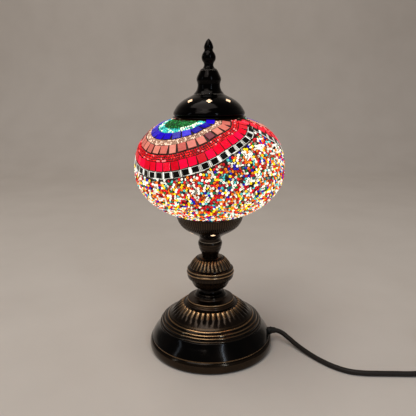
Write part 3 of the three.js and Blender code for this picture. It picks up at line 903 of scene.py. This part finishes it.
def walk(theta, s, pitch, start=0.5):
    first = np.array([theta[1] - theta[0], s[1] - s[0]])
    last = np.array([theta[-1] - theta[-2], s[-1] - s[-2]])
    long = [np.hypot(v[0] * 70, v[1]) for v in (first, last)]
    steps = np.linspace(RUN_OUT, 1, RUN_OUT_STEPS)[:, None]
    before = np.array([theta[0], s[0]]) - first / long[0] * steps
    after = np.array([theta[-1], s[-1]]) + last / long[1] * steps[::-1]
    theta = np.concatenate([before[:, 0], theta, after[:, 0]])
    s = np.concatenate([before[:, 1], s, after[:, 1]])
    run = run_along(theta, s, radius_at((s[1:] + s[:-1]) / 2))
    here = np.arange(start * pitch, run[-1], pitch)
    ahead = here + GLANCE
    t0, s0 = np.interp(here, run, theta), np.interp(here, run, s)
    t1, s1 = np.interp(ahead, run, theta), np.interp(ahead, run, s)
    along = np.stack([(t1 - t0) * radius_at(s0), s1 - s0], 1)
    along /= np.linalg.norm(along, axis=1)[:, None]
    edge = LOBE_GAP / radius_at(s0)
    within = (t0 > math.radians(LOBE_LEFT) + edge) & (t0 < math.radians(LOBE_RIGHT) - edge)
    keep = (s0 > RIM_GAP) & within
    t0, s0, along = t0[keep], s0[keep], along[keep]
    both = np.concatenate([t0, t0 + math.pi])
    return both, np.concatenate([s0, s0]), np.vstack([along, along])


print("a row of tiles is walked at one pitch, then repeated half way round")

# %% [markdown]
# ## Cutting tiles
#
# Mosaic tiles are snapped from sheet glass, so no two are the same: the corners wander by a
# fraction of a millimetre and each tile sits at its own slight tilt. Every tile is a small
# slab with a bevel round its top, and it carries its own shade in an attribute. Plaster clings
# to its sides, so they are dark. A mirror's bevel gets the glowing clear glass finish, a
# painted glint along its edge.

# %% Lay rows of cut tiles
TILE_CORNERS = np.array([(-1, -1), (1, -1), (1, 1), (-1, 1)])
TILE_POINTS = 12


def tile_faces(first):
    top = first + 8
    faces = [(first + 3, first + 2, first + 1, first)]
    for ring in (first, first + 4):
        faces += [(ring + c, ring + (c + 1) % 4, ring + 4 + (c + 1) % 4, ring + 4 + c) for c in range(4)]
    return faces + [(top, top + 1, top + 2, top + 3)]


def lay_tiles(theta, s, along, wide, high, chance, proud=-0.25, thick=1.6, bevel=0.35, wander=0.28):
    count = len(theta)
    place, east, up, out = on_globe(theta, s, proud)
    run = east * along[:, :1] - up * along[:, 1:]
    across = np.cross(out, run)
    size = np.stack([np.broadcast_to(wide, count), np.broadcast_to(high, count)], 1)
    half = size[:, None] / 2
    corner = TILE_CORNERS * half + chance.uniform(-wander, wander, (count, 4, 2))
    lean = chance.normal(0, 0.03, (count, 1, 2))
    rings = []
    for level, inset, tips in ((-thick, 0.0, 0), (-bevel, 0.0, 1), (0.0, bevel, 1)):
        spot = corner - TILE_CORNERS * inset
        height = level - tips * (spot * lean).sum(-1, keepdims=True)
        flat = run[:, None] * spot[..., :1] + across[:, None] * spot[..., 1:]
        rings.append(place[:, None] + flat + out[:, None] * height)
    return np.stack(rings, 1).reshape(-1, 3)


print("a tile has", TILE_POINTS, "points and", len(tile_faces(0)), "faces")

# %% Make one piece from a row of tiles, each tile with its own tone
SIDE_FACES, BEVEL_FACES = [1] * 5, [2] * 4


def tile_piece(name, row, finish, seed, rim=None, **shape):
    chance = np.random.default_rng(seed)
    points = lay_tiles(*row, chance, **shape)
    count = len(points) // TILE_POINTS
    faces = [face for k in range(count) for face in tile_faces(k * TILE_POINTS)]
    piece = make_piece(name, points, faces, finish, "globe", "mosaic", crease=15)
    piece.data.materials.append(PLASTER)
    piece.data.materials.append(rim or finish)
    part = np.tile(SIDE_FACES + BEVEL_FACES + [0], count)
    piece.data.polygons.foreach_set("material_index", part.astype(np.int32))
    tone = chance.uniform(0, 1, count)
    made = piece.data.attributes.new("tone", "FLOAT", "POINT")
    made.data.foreach_set("value", np.repeat(tone, TILE_POINTS).astype(np.float32))


print("a tile has", len(SIDE_FACES), "faces of plaster and", len(BEVEL_FACES), "of bevel")

# %% [markdown]
# ## Lit glass
#
# Glass lit from behind shows its own colour at full strength, so each tile finish is given a
# soft painted glow in that colour. Fine streaks from the rolling of the sheet run through it,
# and every tile is a little lighter or darker than its neighbours.

# %% Colours as they would be picked from a swatch, and a finish for lit tiles
def swatch(*parts):
    return tuple(((c / 255 + 0.055) / 1.055) ** 2.4 if c > 10 else c / 255 / 12.92 for c in parts)


def lit_tile(name, glow, *colours):
    glass = Finish(name, Roughness=0.14, IOR=1.38, Emission_Strength=glow)
    streak = glass.noise(260, 3, (1, 1, 2.6))
    tone = glass.maths("ADD", glass.maths("MULTIPLY", glass.reading("tone"), 0.55),
                       glass.maths("MULTIPLY", streak, 0.45))
    shades = [swatch(*colour) for colour in colours]
    colour = glass.ramp(tone, list(zip((0.15, 0.5, 0.9), shades)))
    glass.feed("Base Color", colour)
    # The emission is a painted glow in the tile's own colour.
    glass.feed("Emission Color", colour)
    glass.bump(streak, 0.06, 0.5)
    return glass.material


RED_GLASS = lit_tile("red_glass", 0.84, (178, 0, 18), (216, 0, 34), (240, 12, 74))
SALMON_GLASS = lit_tile("salmon_glass", 0.62, (184, 84, 78), (212, 118, 102), (234, 158, 136))
BLUE_GLASS = lit_tile("blue_glass", 0.74, (10, 0, 108), (22, 2, 164), (38, 12, 208))
MAROON_GLASS = lit_tile("maroon_glass", 0.7, (64, 0, 16), (100, 6, 32), (134, 16, 48))
CLEAR_STRIP = lit_tile("clear_strip", 0.9, (150, 150, 140), (214, 213, 202), (255, 255, 248))
print("lit glass:", RED_GLASS.name, SALMON_GLASS.name, BLUE_GLASS.name)

# %% Mirror tiles
mirror = Finish("smoked_mirror", Metallic=1.0, Coat_Weight=0.4)
foxing = mirror.noise(300, 4)
SMOKE, SILVER = (0.014, 0.017, 0.014), (0.040, 0.042, 0.036)
mirror.feed("Base Color", mirror.ramp(foxing, [(0.35, SMOKE), (0.75, SILVER)]))
mirror.feed("Roughness", mirror.ramp(foxing, [(0.3, 0.07), (0.8, 0.2)]))
MIRROR = mirror.material
print("mirror:", MIRROR.name)

# %% [markdown]
# ## The bands of tiles
#
# From the lobe's edge inwards come a broken line of thin clear glass, mirror tiles with slips
# of clear glass between them, red tiles, three strings of small red beads, salmon tiles, a
# copper bead chain four rows wide, blue tiles, and beads of pale and dark green up to the rim.

# %% How far each band lies inside the lobe's edge, in millimetres
EDGING_AT, MIRROR_AT, RED_AT, SALMON_AT, BLUE_AT = 0.1, 3.5, 11.9, 29.2, 45.0
RED_BEADS_AT = (17.7, 20.1, 22.5)
COPPER_AT = (34.8, 36.3, 37.8, 39.3)
CYAN_AT = (51.0, 53.4, 55.8)
GREEN_AT = (58.2, 60.6, 63.0, 65.4, 67.8, 70.2, 72.6)
bands = inner_lines([EDGING_AT, MIRROR_AT, RED_AT, SALMON_AT, BLUE_AT,
                     *RED_BEADS_AT, *COPPER_AT, *CYAN_AT, *GREEN_AT])
MIRROR_PITCH, RED_PITCH, SALMON_PITCH, BLUE_PITCH = 10.0, 9.2, 9.9, 10.3
print("bands drawn:", len(bands))

# %% Lay mirrors, the clear glass beside them, and the red and blue tiles
EDGING_KEPT = 0.55
snap = np.random.default_rng(12)
mirrors = walk(*bands[MIRROR_AT], MIRROR_PITCH)
# The mirrors' bevels glow in the clear glass finish: a painted glint.
tile_piece("mirror_tiles", (*mirrors, 7.2, 6.3), MIRROR, 11, CLEAR_STRIP, wander=0.3, bevel=0.3)
slips = walk(*bands[MIRROR_AT], MIRROR_PITCH, 1.0)
slip_wide = snap.uniform(1.2, 2.3, len(slips[0]))
tile_piece("clear_slips", (*slips, slip_wide, 6.6), CLEAR_STRIP, 12, wander=0.2, bevel=0.25)
edging = walk(*bands[EDGING_AT], MIRROR_PITCH)
chosen = snap.uniform(size=len(edging[0])) < EDGING_KEPT
edging = [part[chosen] for part in edging]
tile_piece("clear_edging", (*edging, 8.4, 0.8), CLEAR_STRIP, 18, wander=0.12, bevel=0.2)
reds = walk(*bands[RED_AT], RED_PITCH)
tile_piece("red_tiles", (*reds, 8.1, 8.5), RED_GLASS, 13)
blues = walk(*bands[BLUE_AT], BLUE_PITCH)
tile_piece("blue_tiles", (*blues, 9.1, 8.6), BLUE_GLASS, 15)
print(len(mirrors[0]), "mirror,", len(reds[0]), "red and", len(blues[0]), "blue tiles")

# %% Salmon tiles, with a darker one here and there
salmons = walk(*bands[SALMON_AT], SALMON_PITCH)
odd = np.arange(len(salmons[0])) % 11 == 4
cut_wide = np.random.default_rng(14).uniform(6.9, 8.9, len(odd))
for name, mine, high, glass, seed in (("salmon_tiles", ~odd, 8.5, SALMON_GLASS, 16),
                                      ("maroon_tiles", odd, 8.3, MAROON_GLASS, 17)):
    tile_piece(name, (*(part[mine] for part in salmons), cut_wide[mine], high), glass, seed)
print(int((~odd).sum()), "salmon tiles and", int(odd.sum()), "maroon")

# %% [markdown]
# ## Seed beads
#
# A seed bead is a short piece of glass tube with its edges melted round. Here it is a small
# ring with few sides, because thousands of them cover the globe and each is hardly wider than a
# pencil lead. Every colour is a piece of its own, so each can have its own clear bright glass.

# %% One bead, and many beads at once
BEAD_ROUND, BEAD_SECTION = 9, 5
ring_turn, tube_turn = np.meshgrid(np.arange(BEAD_ROUND) * 2 * math.pi / BEAD_ROUND,
                                   np.arange(BEAD_SECTION) * 2 * math.pi / BEAD_SECTION, indexing="ij")
bead_reach = 0.64 + 0.36 * np.cos(tube_turn)
BEAD = np.stack([bead_reach * np.cos(ring_turn), bead_reach * np.sin(ring_turn),
                 0.5 * np.sin(tube_turn)], -1).reshape(-1, 3)
BEAD_FACES = np.array([
    (a * BEAD_SECTION + b, (a + 1) % BEAD_ROUND * BEAD_SECTION + b,
     (a + 1) % BEAD_ROUND * BEAD_SECTION + (b + 1) % BEAD_SECTION, a * BEAD_SECTION + (b + 1) % BEAD_SECTION)
    for a in range(BEAD_ROUND) for b in range(BEAD_SECTION)
])


def string_beads(name, place, axis, size, finish):
    axis = axis / np.linalg.norm(axis, axis=1)[:, None]
    side = np.cross(axis, np.where(np.abs(axis[:, 2:]) < 0.8, (0, 0, 1), (1, 0, 0)))
    side /= np.linalg.norm(side, axis=1)[:, None]
    turn = np.stack([side, np.cross(axis, side), axis], 1)
    points = place[:, None] + np.einsum("pk,nkj->npj", BEAD, turn) * np.reshape(size, (-1, 1, 1))
    faces = (BEAD_FACES[None] + len(BEAD) * np.arange(len(place))[:, None, None]).reshape(-1, 4)
    return make_piece(name, points.reshape(-1, 3), faces.tolist(), finish, "globe", "mosaic", crease=180)


print("one bead:", len(BEAD), "points")

# %% Bead glass: one clear colour under a faint melted surface
def bead_glass(name, colour, glow):
    colour = swatch(*colour)
    # The emission is a painted glow in the bead's own colour, standing in for the bulb's light through it.
    glass = Finish(name, Base_Color=colour, Emission_Color=colour, Emission_Strength=glow, IOR=1.52)
    melt = glass.noise(700, 2)
    glass.feed("Roughness", glass.ramp(melt, [(0.3, 0.06), (0.7, 0.24)]))
    glass.bump(melt, 0.08, 0.7)
    return glass.material


def tipped(out, chance, spread):
    return out + chance.normal(0, spread, out.shape)


print("each bead's hole points its own way")

# %% Strings of beads that follow the bands
def bead_rows(depths, pitch, size, seed, spread, jitter=0.12):
    chance = np.random.default_rng(seed)
    rows = [walk(*bands[depth], pitch, 0.3 + 0.4 * (k % 2)) for k, depth in enumerate(depths)]
    theta = np.concatenate([row[0] for row in rows])
    s = np.concatenate([row[1] for row in rows]) + chance.normal(0, jitter, len(theta))
    theta = theta + chance.normal(0, jitter, len(theta)) / radius_at(s)
    place, _, _, out = on_globe(theta, s, -0.5 - size)
    place = place + out * size * 0.45
    return place, tipped(out, chance, spread), chance.uniform(0.9, 1.06, len(theta)) * size


def split_beads(names, beads, finishes, seed, weights):
    pick = np.random.default_rng(seed).choice(len(names), len(beads[0]), p=weights)
    for k, (name, finish) in enumerate(zip(names, finishes)):
        mine = pick == k
        string_beads(name, beads[0][mine], beads[1][mine], beads[2][mine], finish)


# %% Red, pale green and dark green strings
STRINGS = [
    (bead_rows(RED_BEADS_AT, 2.5, 1.1, 21, 0.8), 22, [
        ("fine_red_beads", "bead_crimson", (196, 4, 24), 0.7, 0.62),
        ("fine_scarlet_beads", "bead_scarlet", (240, 30, 36), 0.8, 0.22),
        ("fine_rose_beads", "bead_rose", (250, 130, 130), 0.8, 0.16)]),
    (bead_rows(CYAN_AT, 2.5, 1.2, 23, 0.6), 24, [
        ("cyan_beads", "bead_cyan", (70, 205, 195), 0.8, 0.45),
        ("frost_beads", "bead_frost", (235, 250, 225), 0.85, 0.3),
        ("sea_beads", "bead_sea", (20, 150, 140), 0.7, 0.25)]),
    (bead_rows(GREEN_AT, 2.5, 1.2, 25, 0.6), 26, [
        ("deep_green_beads", "bead_deep_green", (0, 84, 30), 0.5, 0.7),
        ("leaf_beads", "bead_leaf", (16, 132, 52), 0.6, 0.3)]),
]
for beads, seed, kinds in STRINGS:
    split_beads([kind[0] for kind in kinds], beads, [bead_glass(*kind[1:4]) for kind in kinds], seed,
                [kind[4] for kind in kinds])

# %% The copper chain: four rows of tiny metal beads
# The copper's warm emission is a painted glow.
copper = Finish("copper_chain", Metallic=1.0, Roughness=0.25, Emission_Color=(0.95, 0.55, 0.40),
                Emission_Strength=0.24)
tarnish = copper.noise(700, 2)
DULL_COPPER, BRIGHT_COPPER = (0.50, 0.27, 0.17), (0.86, 0.58, 0.42)
copper.feed("Base Color", copper.ramp(tarnish, [(0.3, DULL_COPPER), (0.7, BRIGHT_COPPER)]))
# One bead in five is a glowing pale bead: a painted glint on the chain.
chain = bead_rows(COPPER_AT, 1.75, 0.8, 27, 0.3, jitter=0.04)
split_beads(("copper_chain", "chain_painted_glints"), chain,
            (copper.material, bead_glass("painted_glint_beads", (255, 226, 200), 0.7)), 28, (0.8, 0.2))

# %% [markdown]
# ## The scattered beads
#
# Below the lobes the maker presses thousands of mixed beads into glue. They touch but never
# stack. Here they start on loose rows with random shifts, and then push each other apart a few
# times until each has its own room, which is much like rolling them flat with a palm.

# %% Scatter the beads
FIRST_ROW, ROW_STEP, BEAD_STEP, FOOT_GAP, MARGIN = 25.0, 2.6, 2.9, 0.6, 1.15
scatter = np.random.default_rng(31)
loose_theta, loose_s = [], []
for s_row in np.arange(FIRST_ROW, GLASS_LONG - FOOT_GAP, ROW_STEP):
    around = int(2 * math.pi * radius_at(s_row) / BEAD_STEP)
    turn = (np.arange(around) + scatter.uniform(0, 1)) * 2 * math.pi / around
    loose_theta.append(turn + scatter.normal(0, 0.55, around) / radius_at(s_row))
    loose_s.append(s_row + scatter.normal(0, 0.5, around))
theta, s = np.concatenate(loose_theta), np.concatenate(loose_s)


def outside_lobes(theta, s):
    degrees = np.degrees(theta)
    change = np.abs(edge_height(degrees + 0.5) - edge_height(degrees - 0.5))
    slope = change / np.radians(1) / radius_at(s)
    return s > edge_height(degrees) + MARGIN * np.sqrt(1 + np.minimum(slope, 2) ** 2)


keep = outside_lobes(theta, s)
theta, s = theta[keep], s[keep]
print(len(theta), "loose beads")

# %% Let them settle
BEAD_ROOM, SETTLE_ROUNDS, SHOVE = 2.86, 9, 0.32
for _ in range(SETTLE_ROUNDS):
    place = on_globe(theta, s)[0]
    near = KDTree(len(place))
    for k, spot in enumerate(place):
        near.insert(spot, k)
    near.balance()
    push = np.zeros_like(place)
    for k, spot in enumerate(place):
        for other, j, gap in near.find_range(spot, BEAD_ROOM):
            if j != k and gap > 1e-6:
                push[k] += (spot - np.array(other)) / gap * (BEAD_ROOM - gap) * SHOVE
    moved = place + push
    theta = np.arctan2(moved[:, 0], -moved[:, 1])
    s = np.clip(np.interp(-moved[:, 2], -line_z, line_s), 0, GLASS_LONG - 0.8)
keep = outside_lobes(theta, s)
theta, s = theta[keep], s[keep]
print(len(theta), "scattered beads")

# %% Sort them by colour and make each colour
MIX = [
    ("clear", (255, 250, 234), 0.88, 0.21), ("milk", (242, 236, 216), 0.6, 0.11),
    ("smoke", (180, 170, 150), 0.32, 0.06), ("ruby", (196, 4, 28), 0.75, 0.12),
    ("scarlet", (236, 22, 30), 0.85, 0.09), ("wine", (112, 4, 16), 0.4, 0.03),
    ("amber", (242, 126, 10), 0.9, 0.10), ("honey", (196, 80, 14), 0.5, 0.04),
    ("lemon", (255, 214, 10), 0.95, 0.08), ("turquoise", (84, 210, 206), 0.75, 0.05),
    ("teal", (12, 120, 124), 0.5, 0.03), ("cobalt", (24, 18, 180), 0.8, 0.05),
    ("emerald", (6, 132, 62), 0.6, 0.04), ("jet", (22, 13, 11), 0.05, 0.03),
]
weights = np.array([share for *_, share in MIX])
BEAD_SIZE, BEAD_SUNK = 1.46, -1.25
place, _, _, out = on_globe(theta, s, BEAD_SUNK)
axis = tipped(out, scatter, 0.75)
size = BEAD_SIZE * scatter.uniform(0.9, 1.04, len(theta))
split_beads([f"beads_{name}" for name, *_ in MIX], (place, axis, size),
            [bead_glass(f"glass_{name}", colour, glow) for name, colour, glow, _ in MIX],
            32, weights / weights.sum())

# %% [markdown]
# ## The bulb
#
# A round frosted bulb stands in the lampholder at the heart of the globe. It glows, and a small
# warm light just above it lights the inside. Most of the lamp's glow is in the finishes of the
# glass, beads and bare brass themselves, which costs far less than tracing light through glass.

# %% Blow the bulb and light it
frosted = Finish("lit_bulb", Base_Color=(1.0, 0.95, 0.85), Roughness=0.3,
                 Emission_Color=(1.0, 0.72, 0.42))
frosted.feed("Emission Strength", frosted.ramp(frosted.noise(60, 1), [(0.3, 0.78), (0.7, 1.0)]))
BULB = [(11.5, 190.4), (11.6, 192.5), (13.2, 195.6), (17.2, 201.4), (20.8, 208.2), (22.4, 214.6),
        (22.2, 220.6), (19.9, 226.6), (15.4, 232.4), (9.6, 236.7), (4.4, 238.3), (0.08, 238.5)]
bulb_line = flow(BULB, 1.2)
bulb_inside = [(0.05, 237.4), (10, 235.2), (19.4, 224.6), (21.2, 214.6), (12.4, 196.4), (10.5, 190.4)]
make_piece("round_bulb", *turned(bulb_line, bulb_inside, 64), frosted.material, "bulb",
           "bulb_glass", ["bulb_glass"])
FILAMENT_PLACE = (0, 0, 0.2555)
glow = bpy.data.lights.new("filament", "POINT")
glow.energy, glow.shadow_soft_size, glow.color = 0.12, 0.012, (1.0, 0.74, 0.45)
filament = bpy.data.objects.new("filament", glow)
filament.location = FILAMENT_PLACE
scene.collection.objects.link(filament)
print("bulb lit at", round(filament.location.z, 3), "m")

# %% [markdown]
# ## Rubber, plastic and the lead's own finish
#
# The lead is a round flex with a dull dark sleeve. The switch and plug are moulded in black
# plastic with a fine spark texture, and the soft parts are rubber.

# %% Moulded and soft finishes
def moulded(name, dark, light, smooth, rough, grain, depth):
    plastic = Finish(name, IOR=1.4)
    speck = plastic.noise(grain, 3)
    plastic.feed("Base Color", plastic.ramp(speck, [(0.3, dark), (0.75, light)]))
    plastic.feed("Roughness", plastic.ramp(speck, [(0.3, smooth), (0.7, rough)]))
    plastic.bump(speck, depth, 0.7)
    return plastic.material


SPARKED = moulded("black_plastic", (0.010, 0.010, 0.010), (0.024, 0.023, 0.022), 0.28, 0.42, 1400, 0.04)
RUBBER = moulded("dark_rubber", (0.008, 0.007, 0.006), (0.020, 0.017, 0.015), 0.5, 0.68, 800, 0.06)
SLEEVE = moulded("lead_sleeve", (0.007, 0.0045, 0.003), (0.017, 0.011, 0.008), 0.5, 0.66, 500, 0.05)
FELT = moulded("green_felt", (0.010, 0.022, 0.013), (0.035, 0.060, 0.038), 0.9, 1.0, 1600, 0.3)
PORCELAIN = moulded("porcelain", (0.72, 0.69, 0.62), (0.86, 0.83, 0.76), 0.25, 0.4, 200, 0.03)
FABRIC = moulded("tie_weave", (0.010, 0.010, 0.011), (0.038, 0.037, 0.036), 0.8, 0.95, 1900, 0.2)


def plain_metal(name, dark, light, smooth, rough):
    metal = Finish(name, Metallic=1.0)
    brushed = metal.noise(600, 3, (1, 1, 0.2))
    metal.feed("Base Color", metal.ramp(brushed, [(0.3, dark), (0.7, light)]))
    metal.feed("Roughness", metal.ramp(brushed, [(0.3, smooth), (0.7, rough)]))
    metal.bump(brushed, 0.03, 0.4)
    return metal.material


ZINC = plain_metal("zinc_steel", (0.42, 0.42, 0.41), (0.58, 0.58, 0.57), 0.3, 0.48)
NICKEL = plain_metal("bright_nickel", (0.60, 0.58, 0.53), (0.74, 0.72, 0.67), 0.16, 0.28)
BRASS = plain_metal("bare_brass", (0.50, 0.34, 0.13), (0.68, 0.48, 0.20), 0.24, 0.4)
print("plain finishes made")

# %% Dress the lead, attach it to the base and hide the solid model's lead
mains_cord.data.materials.append(SLEEVE)
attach(mains_cord, "base")
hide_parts("mains_lead", "lead_to_coil", "cord_coil", "lead_to_plug")
print("the lead wears", SLEEVE.name)

# %% [markdown]
# ## Strain relief, switch, plug and tie
#
# Where the flex enters metal or plastic, a ribbed rubber sleeve keeps it from kinking. The
# switch is a smooth pebble split along its middle, with a rocker in its top. The plug is flat,
# waisted for the fingers, and has two round pins. A woven tie holds the coil.

# %% Sleeves round the lead, turned upright and then laid down
SLEEVE_BORE, SLEEVE_SIDES = 3.1, 40
LAID_X = Euler((0, math.pi / 2, 0))
LAID_Y = Euler((-math.pi / 2, 0, 0))
PLUG_AT = (338.4, 6.8)


def laid(points, turn, place):
    return points @ np.array(turn.to_matrix()).T + np.array(place)


def sleeve(name, outside, turn, place, node):
    long = outside[-1][1]
    points, faces = turned(outside, [(SLEEVE_BORE, long), (SLEEVE_BORE, 0)], SLEEVE_SIDES)
    return make_piece(name, laid(points, turn, place), faces, RUBBER, "base", "rubber", [node])


ENTRY_LINE = [(3.95, 0), (3.95, 13.6), (4.35, 14.0), (4.55, 14.6), (4.35, 15.2), (3.85, 15.7),
              (3.65, 16.6), (3.5, 18.2), (3.4, 19.9)]
entry_sleeve = sleeve("entry_sleeve", ENTRY_LINE, LAID_X, (57.5, 0, 14), "strain_relief")
PLUG_RIBS, PLUG_SLEEVE_LONG, THIN_R, THICK_R = 6, 21.5, 3.6, 5.0
t = np.linspace(0, 1, PLUG_RIBS * 10 + 1)
notch = np.clip(np.cos(2 * math.pi * PLUG_RIBS * t) * 2.2, -1, 1) * 0.32
ribbed_line = np.stack([THIN_R + (THICK_R - THIN_R) * t + notch, t * PLUG_SLEEVE_LONG], 1)
plug_sleeve = sleeve("plug_sleeve", ribbed_line, LAID_Y, (PLUG_AT[0], 22.2, PLUG_AT[1]), "plug_relief")

# %% Stack rounded sections into a moulded body
BODY_POINTS = 72


def rounded_section(half_long, half_wide, squareness, count):
    angle = np.linspace(0, 2 * math.pi, count, endpoint=False)
    c, s = np.cos(angle), np.sin(angle)
    power = 2 / squareness
    long = half_long * np.sign(c) * np.abs(c) ** power
    wide = half_wide * np.sign(s) * np.abs(s) ** power
    return np.stack([long, wide], 1)


def stacked(levels, squareness):
    count = BODY_POINTS
    rings = [np.column_stack([rounded_section(long, wide, squareness, count), np.full(count, z)])
             for z, long, wide in levels]
    points = np.vstack(rings)
    lids = [tuple(range(count - 1, -1, -1)), tuple(range(len(points) - count, len(points)))]
    return points, lids + ring_walls(len(rings), count)


def moulded_body(name, points, faces, body, node):
    return make_piece(name, points, faces, SPARKED, body, "bakelite", [node])


print("a moulded body has", BODY_POINTS, "points to a ring")

# %% The switch's two halves
SWITCH_AT, PEBBLE = (259, -76.5, 0), 3.4
LOWER = [(0, 27.6, 10), (0.5, 28.8, 11.1), (1.8, 29.8, 11.9), (4.5, 30, 12), (8.1, 30, 12),
         (8.6, 29.6, 11.6)]
UPPER = [(8.9, 29.6, 11.6), (9.4, 30, 12), (12.2, 29.8, 11.9), (14.8, 29.0, 11.4),
         (16.7, 27.2, 10.4), (17.6, 24.4, 8.8), (18.0, 20.5, 6.9)]
halves = []
for name, levels, node in (("switch_lower", LOWER, "switch_base"), ("switch_upper", UPPER, "switch_cover")):
    points, faces = stacked(flow(levels, 0.6), PEBBLE)
    halves.append(moulded_body(name, points + SWITCH_AT, faces, "base", node))
switch_lower, switch_upper = halves

# %% Cut the rocker's window through the upper half
WINDOW, WINDOW_CORNERS = [(10.0, 8.6, 5.7), (19.0, 8.6, 5.7)], 9
points, faces = stacked(WINDOW, WINDOW_CORNERS)
window_mesh = bpy.data.meshes.new("window")
window_mesh.from_pydata(((points + SWITCH_AT) * MM).tolist(), [], faces)
window = bpy.data.objects.new("window", window_mesh)
scene.collection.objects.link(window)
pierce(switch_upper, window)

# %% The rocker, dished for a fingertip at each end
ROCKER_TIP, PIVOT_Z = 0.14, 14.6
KEY_UNDER = [(-7.7, -1.3), (-4.0, -2.7), (0, -3.9), (4.0, -2.7), (7.7, -1.3)]
KEY_OVER = [(7.9, -0.8), (7.95, 3.0), (7.6, 5.0), (6.4, 5.1), (3.2, 4.1), (0, 3.9), (-3.2, 4.1),
            (-6.4, 5.1), (-7.6, 5.0), (-7.95, 3.0), (-7.9, -0.8)]
KEY_SLICES = ((-5.0, 0.93), (-4.6, 1.0), (4.6, 1.0), (5.0, 0.93))
key = np.vstack([flow(KEY_UNDER, 0.8), flow(KEY_OVER, 0.8)])
middle = key.mean(0)
rings = []
for y, share in KEY_SLICES:
    slice_points = middle + (key - middle) * share
    rings.append(np.column_stack([slice_points[:, 0], np.full(len(key), y), slice_points[:, 1]]))
count = len(key)
key_faces = [tuple(range(count)), tuple(range(4 * count - 1, 3 * count - 1, -1))]
key_faces += [(b, a, d, c) for a, b, c, d in ring_walls(len(rings), count)]
key_points = laid(np.vstack(rings), Euler((0, ROCKER_TIP, 0)), (SWITCH_AT[0], SWITCH_AT[1], PIVOT_Z))
rocker = moulded_body("rocker_key", key_points, key_faces, "rocker", "switch_rocker")

# %% The plug's body
PLUG_CORNERS = 4.2
PLUG_LEVELS = [(44, 5.6, 5.2), (45, 6.6, 5.9), (49, 8.6, 6.4), (54, 10.6, 6.7), (59, 11.6, 6.3),
               (64, 12.0, 6.2), (69, 12.6, 6.6), (74, 13.0, 6.8), (77, 12.9, 6.7), (78, 12.2, 6.1)]
points, faces = stacked(flow(PLUG_LEVELS, 1.0), PLUG_CORNERS)
points = laid(points, LAID_Y, (PLUG_AT[0], 0, PLUG_AT[1]))
plug = moulded_body("flat_plug", points, faces, "base", "plug_body")

# %% The woven tie round the coil
TIE_WALL, TIE_WIDE, TIE_CORNERS, TIE_POINTS = 0.9, 8.0, 6, 64
SLACK_ACROSS, SLACK_UP = 0.9, 0.3
COIL_OUT, COIL_IN = COIL_OUTER + CORD_R, 20
COIL_LOW, COIL_HIGH = BOTTOM_Z - CORD_R, TOP_Z + CORD_R
half_across = (COIL_OUT - COIL_IN) / 2 + SLACK_ACROSS
half_up = (COIL_HIGH - COIL_LOW) / 2 + SLACK_UP
tie_centre = (COIL_PLACE[0] - (COIL_OUT + COIL_IN) / 2, COIL_PLACE[1], (COIL_HIGH + COIL_LOW) / 2)
inner_loop, outer_loop = (rounded_section(half_across + wall, half_up + wall, TIE_CORNERS, TIE_POINTS)
                          for wall in (0, TIE_WALL))
tie_rings = []
for loop, side in ((outer_loop, -1), (outer_loop, 1), (inner_loop, 1), (inner_loop, -1)):
    tie_rings.append(np.column_stack([loop[:, 0], np.full(TIE_POINTS, side * TIE_WIDE / 2), loop[:, 1]]))
tie_faces = [(b, a, d, c) for a, b, c, d in ring_walls(4, TIE_POINTS, closed=True)]
coil_tie = make_piece("woven_tie", np.vstack(tie_rings) + tie_centre, tie_faces, FABRIC, "base",
                      "rubber", ["coil_tie"])

# %% [markdown]
# ## Finishes for the hidden hardware
#
# The rod, nuts, washers, lampholder and weight keep their solid shapes. Each gets the finish of
# what it is made of, and a small bevel takes the knife edge off, as tumbling does to real parts.

# %% Give every remaining solid part its finish
EDGE_WIDTH, SHARP_EDGE = 0.25 * MM, math.radians(35)
HARDWARE = {
    "felt_pad": FELT, "bottom_plate": ZINC, "weight_disc": ZINC, "base_washer": ZINC,
    "base_nut": ZINC, "threaded_rod": ZINC, "cup_washer": ZINC, "cup_nut": ZINC,
    "holder_base": SPARKED, "holder_body": SPARKED, "holder_insulator": PORCELAIN,
    "holder_screw_shell": BRASS, "holder_contact": BRASS, "lead_clamp": SPARKED,
    "inner_lead": SLEEVE, "globe_gasket": RUBBER, "bulb_collar": PORCELAIN, "bulb_thread": NICKEL,
    "bulb_contact": NICKEL, "bulb_insulator": SPARKED, "cap_collar": CAP_BLACK, "cap_bolt": ZINC,
    "cap_nut": ZINC, "rocker_pin": ZINC, "switch_contact_in": BRASS, "switch_contact_out": BRASS,
    "plug_pin_left": NICKEL, "plug_pin_right": NICKEL,
}
for part, finish in HARDWARE.items():
    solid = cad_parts[part]
    solid.data.materials.clear()
    solid.data.materials.append(finish)
    solid.data.shade_smooth()
    solid.data.set_sharp_from_angle(angle=SHARP_EDGE)
    edge = solid.modifiers.new("tumbled", "BEVEL")
    edge.width, edge.segments, edge.limit_method = EDGE_WIDTH, 2, "ANGLE"
    edge.angle_limit = SHARP_EDGE
left = [name for name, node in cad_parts.items()
        if not node.hide_render and name not in HARDWARE]
print("finished", len(HARDWARE), "solid parts; unfinished:", left)
